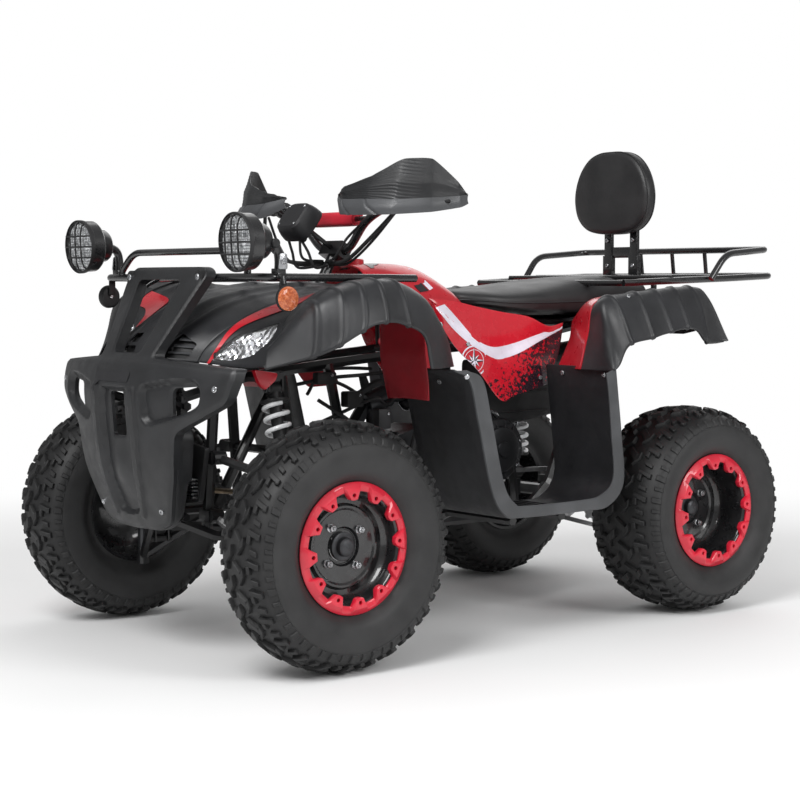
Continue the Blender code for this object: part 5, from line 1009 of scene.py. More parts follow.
def tank_and_sides():
    """The tank's cover with its filler cap, and the side panels with their printed stripes."""
    tank = [both_sides(places(row)) for row in (
        ((0, 0.303, 0.940), (0.05, 0.303, 0.938), (0.09, 0.303, 0.915), (0.105, 0.303, 0.87), (0.11, 0.303, 0.80)),
        ((0, 0.372, 0.945), (0.06, 0.372, 0.942), (0.105, 0.372, 0.915), (0.125, 0.372, 0.86), (0.13, 0.372, 0.78)),
        ((0, 0.460, 0.937), (0.06, 0.460, 0.93), (0.11, 0.460, 0.90), (0.135, 0.460, 0.84), (0.142, 0.460, 0.77)),
        ((0, 0.524, 0.897), (0.06, 0.524, 0.89), (0.11, 0.524, 0.87), (0.14, 0.524, 0.825), (0.15, 0.524, 0.765)),
        ((0, 0.552, 0.862), (0.06, 0.552, 0.858), (0.11, 0.552, 0.845), (0.142, 0.552, 0.81), (0.152, 0.552, 0.765)))]
    cover = skin("cover", tank, "red", steps=(8, 6))
    cap_spot = tuple(place(0, 0.3316, 0.938))
    cap = turned("cap", [(-0.004, 0.034), (0.002, 0.034), (0.004, 0.031), (0.005, 0.027), (0.016, 0.0265),
                         (0.0188, 0.0235), (0.0190, AXIS), (-0.004, AXIS)], "red", cap_spot, 2, 40)
    stripe = decal("stripe", cover, np.stack([
        [(0.074, -0.126, 0.930), (0.096, -0.113, 0.914), (0.112, -0.099, 0.896), (0.122, -0.083, 0.880)],
        [(0.079, -0.141, 0.927), (0.101, -0.128, 0.910), (0.116, -0.114, 0.891), (0.126, -0.097, 0.875)]], 1),
        "white", 0.0016, (14, 6))
    dark = decal("dark", cover, np.stack([
        [(0.082, -0.172, 0.922), (0.105, -0.160, 0.905), (0.119, -0.146, 0.886), (0.129, -0.130, 0.870)],
        [(0.080, -0.145, 0.926), (0.102, -0.132, 0.909), (0.117, -0.118, 0.890), (0.127, -0.101, 0.874)]], 1),
        "black_print", 0.0014, (14, 6))
    badge = decal("badge", cover, np.stack([
        [(0.045, -0.255, 0.95), (0.045, -0.215, 0.95)],
        [(0.078, -0.255, 0.93), (0.078, -0.215, 0.93)]], 1), "black_print", 0.0012)
    decals = merged("decals", [stripe, dark, badge])
    twin = mirrored(decals, "twin")
    worn(merged("fine_tank_cover", [cover, cap, decals, twin]), "root", "red", "tank_cover")

    high = places(((0.155, 0.432, 0.852), (0.165, 0.492, 0.846), (0.175, 0.556, 0.830), (0.182, 0.620, 0.816),
                   (0.186, 0.692, 0.803), (0.190, 0.749, 0.777), (0.196, 0.789, 0.785)))
    low = places(((0.160, 0.436, 0.835), (0.185, 0.478, 0.735), (0.205, 0.532, 0.665), (0.215, 0.590, 0.584),
                  (0.218, 0.632, 0.596), (0.220, 0.676, 0.608), (0.222, 0.720, 0.620)))
    middle = (high + low) / 2 + [0.012, 0, 0]

    def step(u, v, grid):
        aft = grid[..., 1] - 0.06
        edge = 0.690 + aft * np.where(aft > 0, 0.32, -0.80)
        return 0.0035 * eased((grid[..., 2] - edge) / 0.006 + 0.5) - 0.0015

    panel = skin("panel", [high, middle, low], "printed", steps=(20, 14), relief=step)
    upper = np.array([(0.168, -0.084, 0.841), (0.190, -0.047, 0.795), (0.201, -0.016, 0.758), (0.207, 0.014, 0.737),
                      (0.210, 0.058, 0.726), (0.208, 0.126, 0.735), (0.203, 0.215, 0.756), (0.201, 0.311, 0.779)])
    lower = np.array([(0.170, -0.118, 0.830), (0.188, -0.078, 0.779), (0.199, -0.036, 0.742), (0.206, 0.003, 0.718),
                      (0.212, 0.056, 0.695), (0.216, 0.124, 0.704), (0.209, 0.216, 0.737), (0.203, 0.309, 0.773)])
    marks = [decal("stripe", panel, np.stack([upper, lower], 1), "white", shift=(0.006, 0, 0))]
    centre = np.array([0.205, -0.014, 0.690])
    angle = np.linspace(0, 2 * math.pi, 33)
    for outer, inner in ((0.041, 0.037), (0.030, 0.0285)):
        ring = [[centre + [0.006, r * math.cos(a), r * math.sin(a)] for r in (outer, inner)] for a in angle]
        marks.append(decal("ring", panel, ring, "white", steps=(2, 1)))
    for index in range(8):
        a = index * math.pi / 4
        reach = 0.038 if index % 2 == 0 else 0.022
        for hand, finish in ((1, "white"), (-1, "black_print")):
            b = a + hand * math.pi / 4
            tip = centre + [0.006, reach * math.cos(a), reach * math.sin(a)]
            side = centre + [0.006, 0.007 * math.cos(b), 0.007 * math.sin(b)]
            core = centre + [0.006, 0, 0]
            ray = [[core, side], [tip, tip * 0.999 + side * 0.001]]
            marks.append(decal("ray", panel, ray, finish, 0.0009, (3, 2)))
    heads = bolts_on(panel, ((0.205, -0.031, 0.734), (0.225, 0.208, 0.640)))
    pair(merged("panel", [panel] + marks + heads), "fine_side_panel_{}", "root", "red", "side_panel_{}")


def rear_end():
    """The red panel round the seat's back, its deck and the tail lamp."""
    side = skin("side", [REAR_OUTER, REAR_MIDDLE, REAR_INNER], "red", steps=(8, 8), offset=1.0)
    other = mirrored(side, "other")
    dish = ((-0.215, 0.009), (-0.17, 0), (0, 0), (0.17, 0), (0.215, 0.009))
    deck_rows = [[place(x, y, z + rise) for x, rise in dish]
                 for y, z in ((0.82, 0.795), (0.869, 0.8), (0.997, 0.8), (1.205, 0.8), (1.205, 0.745))]
    deck = skin("deck", deck_rows, "dark", 0.006, (4, 3), (straight, straight))
    worn(merged("fine_rear_body", [side, other, deck]), "root", "red", "rear_body")
    lamp = applied(prism(rounded([(-0.11, 0.757), (0.11, 0.757), (0.10, 0.793), (-0.10, 0.793)], 0.010),
                         REAR_AXLE_Y + 0.256, REAR_AXLE_Y + 0.285), softened(0.004, 3))
    worn(coated(resmooth(lamp), "tail"), "root", "tail", "tail_light")


def footwells():
    """The footwells: the walls and floor in one smooth sheet, a flange along the open side,
    ribs on the floor and bolts at the upper corners."""
    wall = ((0.268, 0.684), (0.308, 0.656), (0.330, 0.560), (0.366, 0.387), (0.402, 0.322), (0.45, 0.312),
            (0.62, 0.312), (0.690, 0.318), (0.735, 0.375), (0.728, 0.50), (0.718, 0.60), (0.710, 0.676))
    lip = ((0.300, 0.684), (0.340, 0.660), (0.362, 0.570), (0.396, 0.405), (0.425, 0.352), (0.46, 0.342),
           (0.61, 0.342), (0.665, 0.350), (0.702, 0.390), (0.696, 0.50), (0.688, 0.60), (0.680, 0.662))
    rows = [[place(0.238, y, z), place(0.36, y, z), place(0.493, y, z)] for y, z in wall]
    well = skin("well", rows, "dark", steps=(6, 4), offset=1.0)
    edge = [[place(0.4935, y, z), place(0.499, y + (ly - y) * 0.12, z + (lz - z) * 0.12), place(0.500, ly, lz)]
            for (y, z), (ly, lz) in zip(wall, lip)]
    flange = skin("flange", edge, "grey", 0.0035, (6, 4), offset=1.0)
    ribs = []
    for index in range(9):
        y = 0.455 + 0.019 * index
        rib = prism([(0.262, 0.3165), (0.478, 0.3165), (0.470, 0.3215), (0.270, 0.3215)],
                    float(place(0, y, 0)[1]), float(place(0, y + 0.006, 0)[1]))
        ribs.append(coated(rib, "dark"))
    heads = bolts_on(well, ((0.454, 0.219, 0.655), (0.382, -0.280, 0.652), (0.30, 0.219, 0.655)), 0.007)
    heads += bolts_on(flange, ((0.4985, -0.292, 0.669),), 0.007)
    pair(merged("footwell", [well, flange] + ribs + heads), "fine_footwell_{}", "root", "plastic", "footwell_{}")


flares()
front_end()
tank_and_sides()
rear_end()
footwells()


# Soft parts.

def vinyl():
    """Black grained vinyl with a soft sheen and faint creases, darker in the creases as painted shade."""
    finish = Finish("seat_vinyl", (0.014, 0.014, 0.015), 0.46, coat=0.12, coat_rough=0.4)
    cell = finish.cells(420.0)
    crease = finish.noise(9.0, 4.0, 0.6)
    # Darker where the crease noise sinks the surface: painted shade in the creases.
    finish.set("Base Color", finish.mix((0.010, 0.010, 0.011), (0.020, 0.020, 0.021), finish.band(crease, 0.3, 0.7)))
    finish.set("Roughness", finish.band(crease, 0.3, 0.7, (0.42, 0.54)))
    finish.set("Normal", finish.bump(cell * 0.35 + crease * 2.0, 0.0009, 0.45))
    return finish


FINISH["vinyl"] = vinyl()


def closed_loft(name, rings, finish, smooth=60):
    """A closed body through rings of equally many points; the first and last rings are filled."""
    rings = np.asarray(rings, float)
    rows, columns = rings.shape[:2]
    points = np.concatenate([rings.reshape(-1, 3), rings[:1].mean(1), rings[-1:].mean(1)])
    faces = grid_faces(rows, columns, False, True).tolist()
    first, last, base = rows * columns, rows * columns + 1, (rows - 1) * columns
    for index in range(columns):
        after = (index + 1) % columns
        faces += [[first, after, index], [last, base + index, base + after]]
    return made(name, points, faces, finish, smooth)


def seat():
    """The seat: sections of a round-cornered crown over a flatter base, run along the machine, that
    shrink to a blunt end at the nose and the tail; a welt runs round its lower edge."""
    stations = np.array([(0.548, 0.060, 0.842, 0.862), (0.557, 0.108, 0.834, 0.874), (0.600, 0.146, 0.828, 0.877),
                         (0.660, 0.168, 0.818, 0.878), (0.750, 0.178, 0.808, 0.890), (0.869, 0.179, 0.8010, 0.905),
                         (0.960, 0.173, 0.8010, 0.913), (1.060, 0.163, 0.8010, 0.915), (1.100, 0.145, 0.8010, 0.911),
                         (1.120, 0.105, 0.806, 0.900)])
    stations = catmull(stations, 6)
    cosine, sine = np.cos(around(44)), np.sin(around(44))
    rings, welt = [], []
    for y, half, low, high in stations:
        middle, tall = low + (high - low) * 0.42, (high - low) * 0.58
        x = half * squared(cosine, 0.62)
        up = middle + np.where(sine > 0, tall * squared(sine, 0.80), (middle - low) * squared(sine, 0.30))
        rings.append(np.stack([x, np.full(44, y), up], 1))
        welt.append((half + 0.0006, y, middle - 0.002))
    rings = np.array(rings)
    rings[..., 1] = FRONT_AXLE_Y + rings[..., 1] * WHEELBASE
    pieces = [closed_loft("cushion", rings, "vinyl")]
    for side in (1, -1):
        pieces.append(swept("welt", places(welt[2:-3]) * [side, 1, 1], 0.0024, "vinyl", 8))
    piece = worn(merged("fine_seat", pieces), "root", "vinyl", "seat")


def backrest():
    """The backrest's pad: its outline drawn in over rings whose depth follows a round edge, with a crowned
    front and a welt round the middle."""
    half = [(0, 1.278), (0.050, 1.275), (0.092, 1.258), (0.126, 1.222), (0.146, 1.175), (0.1495, 1.130),
            (0.136, 1.085), (0.102, 1.053), (0.055, 1.040), (0, 1.037)]
    outline = catmull(halves(half), 6, closed=True)
    middle = outline.mean(0)
    front, back = REAR_AXLE_Y + 0.1095, REAR_AXLE_Y + 0.1620

    def ring(shrink, y):
        return np.insert(middle + (outline - middle) * shrink, 1, y, axis=1)

    def rounding(share, grow=0.0):
        shrink = 1 - 0.115 * (1 - math.sqrt(max(0.0, 1 - abs(share) ** 2.6))) + grow
        return ring(shrink, (front + back) / 2 + share * (back - front) / 2 * 0.84)

    rings = [rounding(share) for share in np.linspace(-1, 1, 15)]
    for shrink, crown in ((0.70, 0.0018), (0.45, 0.0032), (0.2, 0.004)):
        rings.insert(0, ring(shrink, rings[0][0, 1] - crown * 0.35))
    pieces = [closed_loft("pad", rings, "vinyl")]
    for share in (-0.62, 0.62):
        seam = rounding(share, 0.004)
        pieces.append(swept("welt", np.concatenate([seam, seam[:1]]), 0.0022, "vinyl", 8))
    piece = worn(merged("fine_backrest_pad", pieces), "root", "vinyl", "backrest_pad")


# The handlebar and what is on it.

def clamp_point():
    """Where the stem's line, carried on a twentieth past its top, meets the bar's clamp."""
    base = place(0, 0.003, 0.375)
    top = place(0, 0.2707, 0.948)
    return base + (top - base) * 1.05


CLAMP = clamp_point()
RISERS = np.concatenate([[CLAMP + [0.056, 0, 0]],
                         places(((0.135, 0.279, 1.052), (0.21, 0.286, 1.086), (0.400, 0.352, 1.098)))])
BRACE = RISERS[1] + (RISERS[2] - RISERS[1]) * 0.16


def handlebar():
    """The bar in one bent sweep with its brace, ribbed grips, perches, levers and switch boxes."""
    route = rounded(np.concatenate([RISERS[::-1] * MIRROR, RISERS]), 0.035, 6, closed=False)
    pieces = [swept("bar", route, 0.011, "tube", 16), swept("brace", [BRACE, BRACE * MIRROR], 0.0065, "tube", 12)]
    halfway = []
    start, tip = RISERS[2], RISERS[3]
    way = (tip - start) / np.linalg.norm(tip - start)
    grip = np.linspace(0, 0.115, 70)
    radius = 0.0158 + 0.0014 * (np.sin(grip * 2 * math.pi / 0.0066) > 0) * (grip > 0.012)
    radius[:3] = 0.0205
    radius[-2:] = 0.0190
    halfway.append(swept("grip", tip - way * 0.116 + way * grip[:, None], radius, "rubber_trim", 20, 25))
    perch = tip - way * 0.136
    halfway.append(swept("box", [perch - way * 0.020, perch - way * 0.018, perch + way * 0.016, perch + way * 0.018],
                         [0.019, 0.0225, 0.0225, 0.019], "soft_black", 18))
    forward = np.array([0.0, -1.0, -0.12])
    lever = rounded([perch + forward * 0.012, perch + forward * 0.050, perch + forward * 0.060 + way * 0.05,
                     perch + forward * 0.052 + way * 0.150], 0.03, 6, closed=False)
    halfway.append(swept("lever", lever, np.linspace(0.0058, 0.0042, len(lever)), "soft_black", 10))
    halfway.append(bolt(perch + forward * 0.030 + [0, 0, 0.006], (0, 0, 1), 0.005))
    left = merged("grips", halfway)
    worn(merged("fine_handlebar", pieces + [left, mirrored(left, "twin")]), "steering", "tube", "handlebar")


def bar_pad():
    """The red foam wrap on the brace: a rounded four-sided section, a little fuller in the middle,
    with hollow ends and a fold along its underside."""
    middle = BRACE * [0, 1, 1]
    half = 0.0995
    angle = around(32)
    c, s = np.cos(angle), np.sin(angle)
    rings = []
    for share in np.linspace(-1, 1, 25):
        swell = 1 - 0.07 * abs(share) ** 6
        section = np.stack([squared(c, 0.62), squared(s, 0.62)], 1) * [0.0205, 0.0190] * swell
        section[:, 1] += 0.003 * np.exp(-((angle - 1.5 * math.pi) / 0.10) ** 2)
        rings.append(middle + np.insert(section, 0, share * half, axis=1))
    for shrink, inset in ((0.90, 0.0), (0.80, 0.004), (0.45, 0.004)):
        for end, hand in ((0, -1), (-1, 1)):
            flat = middle + (rings[end] * [0, 1, 1] - middle) * shrink
            flat[:, 0] = hand * (half - inset)
            rings.insert(0 if hand < 0 else len(rings), flat)
    pad = closed_loft("fine_bar_pad", rings, "red_pad", 50)
    worn(pad, "steering", "red_pad", "bar_pad")


def hand_guards():
    """The hand guards: a smooth grey band below and a taller ribbed shield above it."""
    low = places(((0.115, 0.223, 1.090), (0.17, 0.195, 1.064), (0.26, 0.192, 1.060), (0.335, 0.218, 1.060),
                  (0.39, 0.283, 1.066), (0.415, 0.340, 1.078), (0.405, 0.367, 1.088)))
    high = places(((0.115, 0.223, 1.116), (0.17, 0.200, 1.132), (0.265, 0.215, 1.158), (0.33, 0.250, 1.196),
                   (0.378, 0.295, 1.196), (0.41, 0.340, 1.140), (0.40, 0.370, 1.112)))
    split = low + (high - low) * np.array([0.96, 0.56, 0.40, 0.27, 0.27, 0.46, 0.96])[:, None]
    out = np.array([0.35, -0.93, 0.0])
    middle = (low + split) / 2 + out * 0.004

    def crease(u, v, grid):
        lines = np.exp(-((v - 0.42 + 0.10 * u) / 0.007) ** 2) + np.exp(-((v - 0.24 + 0.08 * u) / 0.007) ** 2)
        return -0.0034 * lines + 0.0012

    def edged(points, steps):
        return catmull(points, steps, tight=0.55)

    band = skin("band", [low, middle, split], "grey", 0.0034, (6, 30), (catmull, edged), relief=crease)
    top = split - (high - low) * 0.08

    def ribs(u, v, grid):
        wave = np.sin((u + v * 0.9) * math.pi * 26) * 0.0005
        fold = 0.006 * eased((0.5 - np.abs(u - 0.42 - 0.55 * np.abs(v - 0.62)) * 2.0) * 1.6)
        return wave * eased((0.62 - v) / 0.05) + fold * 0.5 - 0.002

    rise = [top - out * 0.002, (top + high) / 2 + out * 0.001, high]
    shield = skin("shield", rise, "plastic", 0.003, (30, 14), relief=ribs, ways=(catmull, edged))
    heads = [bolt(*on(band, place(0.407, 0.356, 1.098)), 0.0055, 0.003, "zinc")]
    heads.append(bolt(*on(band, place(0.128, 0.217, 1.099)), 0.0065, 0.0006, "dark"))
    stud_end, _ = on(band, place(0.407, 0.352, 1.098))
    heads.append(swept("stud", [RISERS[3], stud_end + (RISERS[3] - stud_end) * 0.12], 0.006, "soft_black", 10))
    root = RISERS[2] - [0.03, 0, 0.012]
    arm, _ = on(band, place(0.15, 0.212, 1.095))
    arm_route = [root, (root + arm) / 2 - [0, 0, 0.01], arm + [0, 0.004, 0]]
    heads.append(swept("arm", arm_route, 0.005, "soft_black", 10))
    pair(merged("guard", [band, shield] + heads), "fine_handguard_{}", "steering", "plastic", "handguard_{}")


def dash_pod():
    """The instrument pod: round-cornered sections along its own axis, wide at the face under a
    peaked hood and narrow at the back, with four screws and the key's knob."""
    pod = CLAMP + [0, -0.0961 * WHEELBASE, 0.0754]
    turn = Matrix.Rotation(math.radians(52 + 180), 3, "X")
    c, s = squared(np.cos(around(40)), 0.5), squared(np.sin(around(40)), 0.5)
    rings = [np.stack([c * width, s * height, np.full(40, depth)], 1) for depth, width, height in (
        (-0.024, 0.030, 0.026), (-0.0245, 0.040, 0.036), (-0.020, 0.046, 0.042), (-0.008, 0.050, 0.046),
        (0.004, 0.053, 0.0485), (0.016, 0.0545, 0.0495), (0.022, 0.0545, 0.0495),
        (0.0245, 0.0525, 0.0475), (0.0215, 0.0490, 0.0440), (0.0210, 0.030, 0.028))]
    pieces = [closed_loft("pod", rings, "dark", 35)]
    for x in (-1, 1):
        for y in (-1, 1):
            pieces.append(bolt((x * 0.032, y * 0.028, -0.0238), (0, 0, -1), 0.0038, 0.0025))
    pieces.append(turned("key", [(0, 0.009), (0.008, 0.009), (0.009, 0.007), (0.009, AXIS), (0, AXIS)],
                         "soft_black", (0.030, 0.040, 0.022), 2, 16))
    glass = Finish("dial_glass", (0.03, 0.035, 0.04), 0.08, coat=0.8).shade(0.2)
    dial = [(0.0195, 0.036), (0.0225, 0.036), (0.0235, 0.034), (0.0240, AXIS), (0.0195, AXIS)]
    pieces.append(turned("dial", dial, glass, (0, 0, 0), 2, 40))
    body = merged("fine_dash_pod", pieces)
    body.data.transform(Matrix.Translation(Vector(pod)) @ turn.to_4x4())
    worn(body, "steering", "plastic", "dash_pod")


def cables():
    """Cables and hoses from the bar's levers and switches to the stem, in smooth sweeps."""
    routes = []
    for side in (1, -1):
        for start, sag, end in (((0.285, -0.335, 1.075), (0.225, -0.372, 1.005), (0.014, -0.338, 0.944)),
                                ((0.275, -0.330, 1.070), (0.200, -0.350, 0.995), (0.020, -0.332, 0.940)),
                                ((0.160, -0.318, 1.065), (0.105, -0.350, 1.010), (0.008, -0.345, 0.950)),
                                ((0.022, -0.450, 1.020), (0.034, -0.425, 0.975), (0.016, -0.350, 0.938))):
            middle = (np.array(sag) + end) / 2 + [0.012, -0.018, -0.022]
            routes.append(np.array([start, sag, middle, end]) * [side, 1, 1])
    pieces = []
    for index, route in enumerate(routes):
        radius = 0.0052 if index % 4 == 0 else 0.0036
        pieces.append(swept("cable", catmull(route, 10), radius, "rubber_trim", 10))
    worn(merged("bar_cables", pieces), "steering", "plastic")


seat()
backrest()
handlebar()
bar_pad()
hand_guards()
dash_pod()
cables()


# The front: bull bar, racks, lamps and signals.

def bumper():
    """The bull bar: a swept face raised by ribs and sunk by rounded recesses, with its outline and
    windows cut through, and the wall round its tower."""
    face = np.array([(0.29, 0.79), (0.33, 0.83), (0.45, 0.942), (0.56, 0.985), (0.64, 1.0), (0.70, 0.955),
                     (0.725, 0.885), (0.80, 0.755), (0.95, 0.50)])
    heights = np.concatenate([np.linspace(0.29, 0.70, 104), np.linspace(0.704, 0.95, 60)])
    reach = catmull(face, 12)
    deepest = 0.3148
    reach = np.interp(heights, reach[:, 0], reach[:, 1]) * deepest
    x = np.linspace(-0.40, 0.40, 200)
    sweep = 0.56
    y = FRONT_AXLE_Y - reach[:, None] + sweep * x ** 2
    grid = np.stack(np.broadcast_arrays(x, y, heights[:, None]), 2)
    outline = rounded(halves(((0.0, 0.932), (0.15, 0.932), (0.178, 0.915), (0.115, 0.718), (0.20, 0.712),
                              (0.385, 0.699), (0.388, 0.68), (0.372, 0.622), (0.309, 0.589), (0.222, 0.548),
                              (0.203, 0.442), (0.150, 0.327), (0.10, 0.308), (0.0, 0.305))), 0.018)
    loop = rounded(halves(((0.0, 0.902), (0.084, 0.902), (0.095, 0.895), (0.062, 0.735), (0.05, 0.727),
                           (0.0, 0.727))), 0.012)
    slot = rounded(halves(((0.0, 0.636), (0.03, 0.636), (0.03, 0.53), (0.0, 0.53))), 0.008)
    window = rounded([(0.208, 0.651), (0.289, 0.658), (0.291, 0.62), (0.275, 0.605), (0.205, 0.58)], 0.014)
    recess = rounded([(0.110, 0.655), (0.20, 0.672), (0.285, 0.676), (0.308, 0.655), (0.303, 0.612),
                      (0.27, 0.594), (0.14, 0.560), (0.118, 0.575)], 0.022)
    channel = rounded(halves(((0.0, 0.648), (0.062, 0.648), (0.070, 0.56), (0.062, 0.42), (0.045, 0.345),
                              (0.0, 0.338))), 0.015)
    rib = rounded([(0.070, 0.650), (0.094, 0.652), (0.098, 0.55), (0.088, 0.42), (0.066, 0.335), (0.052, 0.338),
                   (0.068, 0.42), (0.078, 0.56)], 0.006)
    flat = np.stack([np.abs(grid[..., 0]), grid[..., 2]], 2)
    whole = grid[..., [0, 2]]

    def round_edge(distance, radius=0.008):
        return radius * 0.45 * np.clip(1 - distance / radius, 0, 1) ** 2

    rise = -round_edge(inside(whole, outline), 0.010) - 0.016 * eased(inside(flat, recess) / 0.012 + 0.2)
    rise = rise - 0.015 * eased(inside(whole, channel) / 0.010 + 0.2)
    rise = rise + 0.0055 * eased(inside(flat, rib) / 0.006 + 0.7)
    bulge = np.exp(-((grid[..., 2] - 0.44) / 0.055) ** 2 - (grid[..., 0] / 0.042) ** 2)
    rise = rise + 0.012 * bulge * (inside(whole, channel) > 0)
    for hole in (loop, slot):
        rise = rise - round_edge(-inside(whole, hole), 0.007)
    rise = rise - round_edge(-inside(flat, window), 0.007)
    blank = rounded([(-0.082, 0.664), (0.068, 0.664), (0.066, 0.694), (-0.088, 0.694)], 0.003)
    rise = rise - 0.0012 * (inside(whole, blank) > 0)
    out = normals_of(grid)
    layers = np.stack([grid + out * np.clip(rise, -0.021, 0.0052)[..., None], grid - out * 0.027])
    tall, wide = grid.shape[:2]
    rim = np.concatenate([np.arange(wide), wide * np.arange(1, tall) + wide - 1,
                          np.arange(tall * wide - 2, (tall - 1) * wide - 1, -1),
                          wide * np.arange(tall - 2, 0, -1)])
    ahead, behind = np.roll(rim, -1), tall * wide
    faces = np.concatenate([grid_faces(tall, wide), grid_faces(tall, wide, start=behind),
                            np.stack([rim, ahead, ahead + behind, rim + behind], 1)])
    sheet = made("sheet", layers.reshape(-1, 3), faces, "plastic", 40)
    carved(sheet, [prism(outline, -1.1, -0.5)], "INTERSECT", "MANIFOLD")
    carved(sheet, [prism(cut, -1.1, -0.5) for cut in (loop, slot, window, window * [-1, 1])], solver="MANIFOLD")
    coated(sheet, "plastic")
    half = [(0.113, 0.56), (0.207, 0.545), (0.198, 0.442), (0.146, 0.331), (0.098, 0.313)]
    skirt = rounded(half + [(-x, z) for x, z in reversed(half)], 0.02, 4, False)
    skirt = skirt * [0.985, 1] + [0, 0.002]
    front = FRONT_AXLE_Y - np.interp(skirt[:, 1], heights, reach) + sweep * skirt[:, 0] ** 2 + 0.016
    rows = [np.insert(skirt, 1, y, axis=1) for y in (front, np.maximum(front + 0.03, -0.91), -0.884)]
    wall = skin("wall", rows, "plastic", 0.010, (2, 1), (straight, straight), offset=1.0)
    plate_rows = [[(across, -1.0, up) for up in (0.6645, 0.6935)] for across in (-0.083, -0.045, -0.01, 0.03, 0.066)]
    plate = decal("plate", sheet, plate_rows, "dark", 0.0012, (4, 3))
    heads = []
    for side in (1, -1):
        heads += bolts_on(sheet, ((side * 0.087, -0.99, 0.640),), 0.0075, 0.0012, "dark")
        heads += bolts_on(sheet, ((side * 0.348, -0.92, 0.655), (side * 0.136, -0.93, 0.355)), 0.0075, 0.004)
        root = np.array([side * 0.155, -0.822, 0.908])
        eye = [(-0.010, 0.0165), (0.004, 0.0165), (0.006, 0.0145), (0.006, AXIS), (-0.010, AXIS)]
        heads.append(turned("eye", eye, "soft_black", tuple(root), 1, 24))
        heads.append(bolt(root + [0, -0.010, 0], (0, -1, 0), 0.008, 0.005))
    worn(merged("fine_bumper", [sheet, wall, plate] + heads), "root", "plastic", "bumper")


def spot_lamps():
    """The spot lamps: a turned housing with a rim, a prismed lens over a bright bowl, a guard of
    bowed wires, a foot with its bolt and a knurled knob."""
    centre, back = places(((0.358, -0.158, 0.986), (0.359, -0.108, 0.989)))
    way = centre - back
    depth = float(np.linalg.norm(way))
    way = way / depth

    def ahead(*profile):
        return [(depth + along, out) for along, out in profile]

    shell = [(-0.016, 0.030), (-0.016, 0.036), (-0.010, 0.0405), (0.010, 0.0425), (0.014, 0.0470), (0.018, 0.0590),
             (0.024, 0.0645)] + ahead((-0.012, 0.0655), (-0.010, 0.0675), (-0.001, 0.0678), (0, 0.0665), (0, 0.0630),
                                      (-0.004, 0.0615), (-0.006, 0.0600))
    shell += [(0.020, 0.0560), (0.012, 0.030), (-0.004, AXIS), (-0.016, AXIS)]
    lens = ahead((-0.0045, 0.0605), (-0.0030, 0.052), (-0.0010, 0.035), (-0.0003, 0.018), (0, AXIS),
                 (-0.004, AXIS), (-0.006, 0.030), (-0.0075, 0.0605))
    bowl = ahead((-0.0085, 0.0595), (-0.022, 0.052), (-0.030, 0.036), (-0.034, 0.018), (-0.035, AXIS),
                 (-0.037, AXIS), (-0.034, 0.036), (-0.024, 0.055))
    prismed = Finish("prismed_lens", (0.62, 0.64, 0.66), 0.22, 0.35, coat=0.9)
    x, _, z = prismed.where()
    steps = (x * 900.0).sine() + (z * 900.0).sine()
    prismed.set("Normal", prismed.bump(steps + prismed.noise(90.0) * 2.0, 0.0018, 0.9))
    share = prismed.band(prismed.noise(85.0, 4.0, 0.7), 0.35, 0.65)
    prismed.set("Base Color", prismed.mix((0.22, 0.23, 0.24), (0.82, 0.84, 0.86), share))
    pieces = [turned("shell", shell, "lamp", axis=2, steps=56, smooth=30),
              turned("lens", lens, prismed, axis=2, steps=48, smooth=60),
              turned("bowl", bowl, "chrome", axis=2, steps=40)]
    for offset in (-0.027, 0.0, 0.027):
        for across in (0, 1):
            half = math.sqrt(0.0665 ** 2 - offset ** 2)
            t = np.linspace(-1, 1, 15)
            rise = depth + 0.011 * (1 - t ** 4) - 0.010 * (np.abs(t) > 0.99) + (0.002 if across else 0)
            wire = np.stack([np.full(15, offset), t * half, rise], 1)
            if across:
                wire = wire[:, [1, 0, 2]]
            pieces.append(swept("wire", wire, 0.0021, "soft_black", 8))
    band = ahead((-0.006, 0.0682), (0.002, 0.0682), (0.003, 0.0672), (0.003, 0.0655), (-0.006, 0.0655))
    pieces.append(turned("guard", band, "soft_black", axis=2, steps=56))
    lamp = laid(merged("lamp", pieces), back, way)
    foot = place(0.360, -0.064, 0.907)
    yoke = [foot + [0, 0, 0.010], foot + [0, 0.002, 0.040], foot + [0, -0.004, 0.070], back + (back - centre) * 0.25]
    post = swept("post", rounded(yoke, 0.02, 5, False), 0.0105, "lamp", 14)
    base = rounded(oblong(foot[0] - 0.013, foot[0] + 0.013, foot[1] - 0.013, foot[1] + 0.013), 0.004)
    tab = rounded([(foot[1] - 0.012, 0.925), (foot[1] + 0.014, 0.925), (foot[1] + 0.012, 0.962),
                   (foot[1] - 0.008, 0.962)], 0.006)
    knob = turned("knob", [(0, 0.011), (0.012, 0.011), (0.014, 0.009), (0.014, AXIS), (0, AXIS)], "soft_black",
                  tuple(back + (back - centre) * 0.32 + [0.030, 0, -0.006]), 0, 14, smooth=20)
    pieces = [lamp, post, blocky(base, foot[2] + 0.0095, foot[2] + 0.020, 2, 0.0015, "lamp"),
              blocky(tab, foot[0] + 0.013, foot[0] + 0.017, 0, 0.001, "zinc"), knob,
              bolt(foot + [0.017, 0.001, 0.036], (1, 0, 0), 0.007, 0.004)]
    pair(merged("spot", pieces), "fine_lamp_{}", "root", "lamp", "lamp_{}")


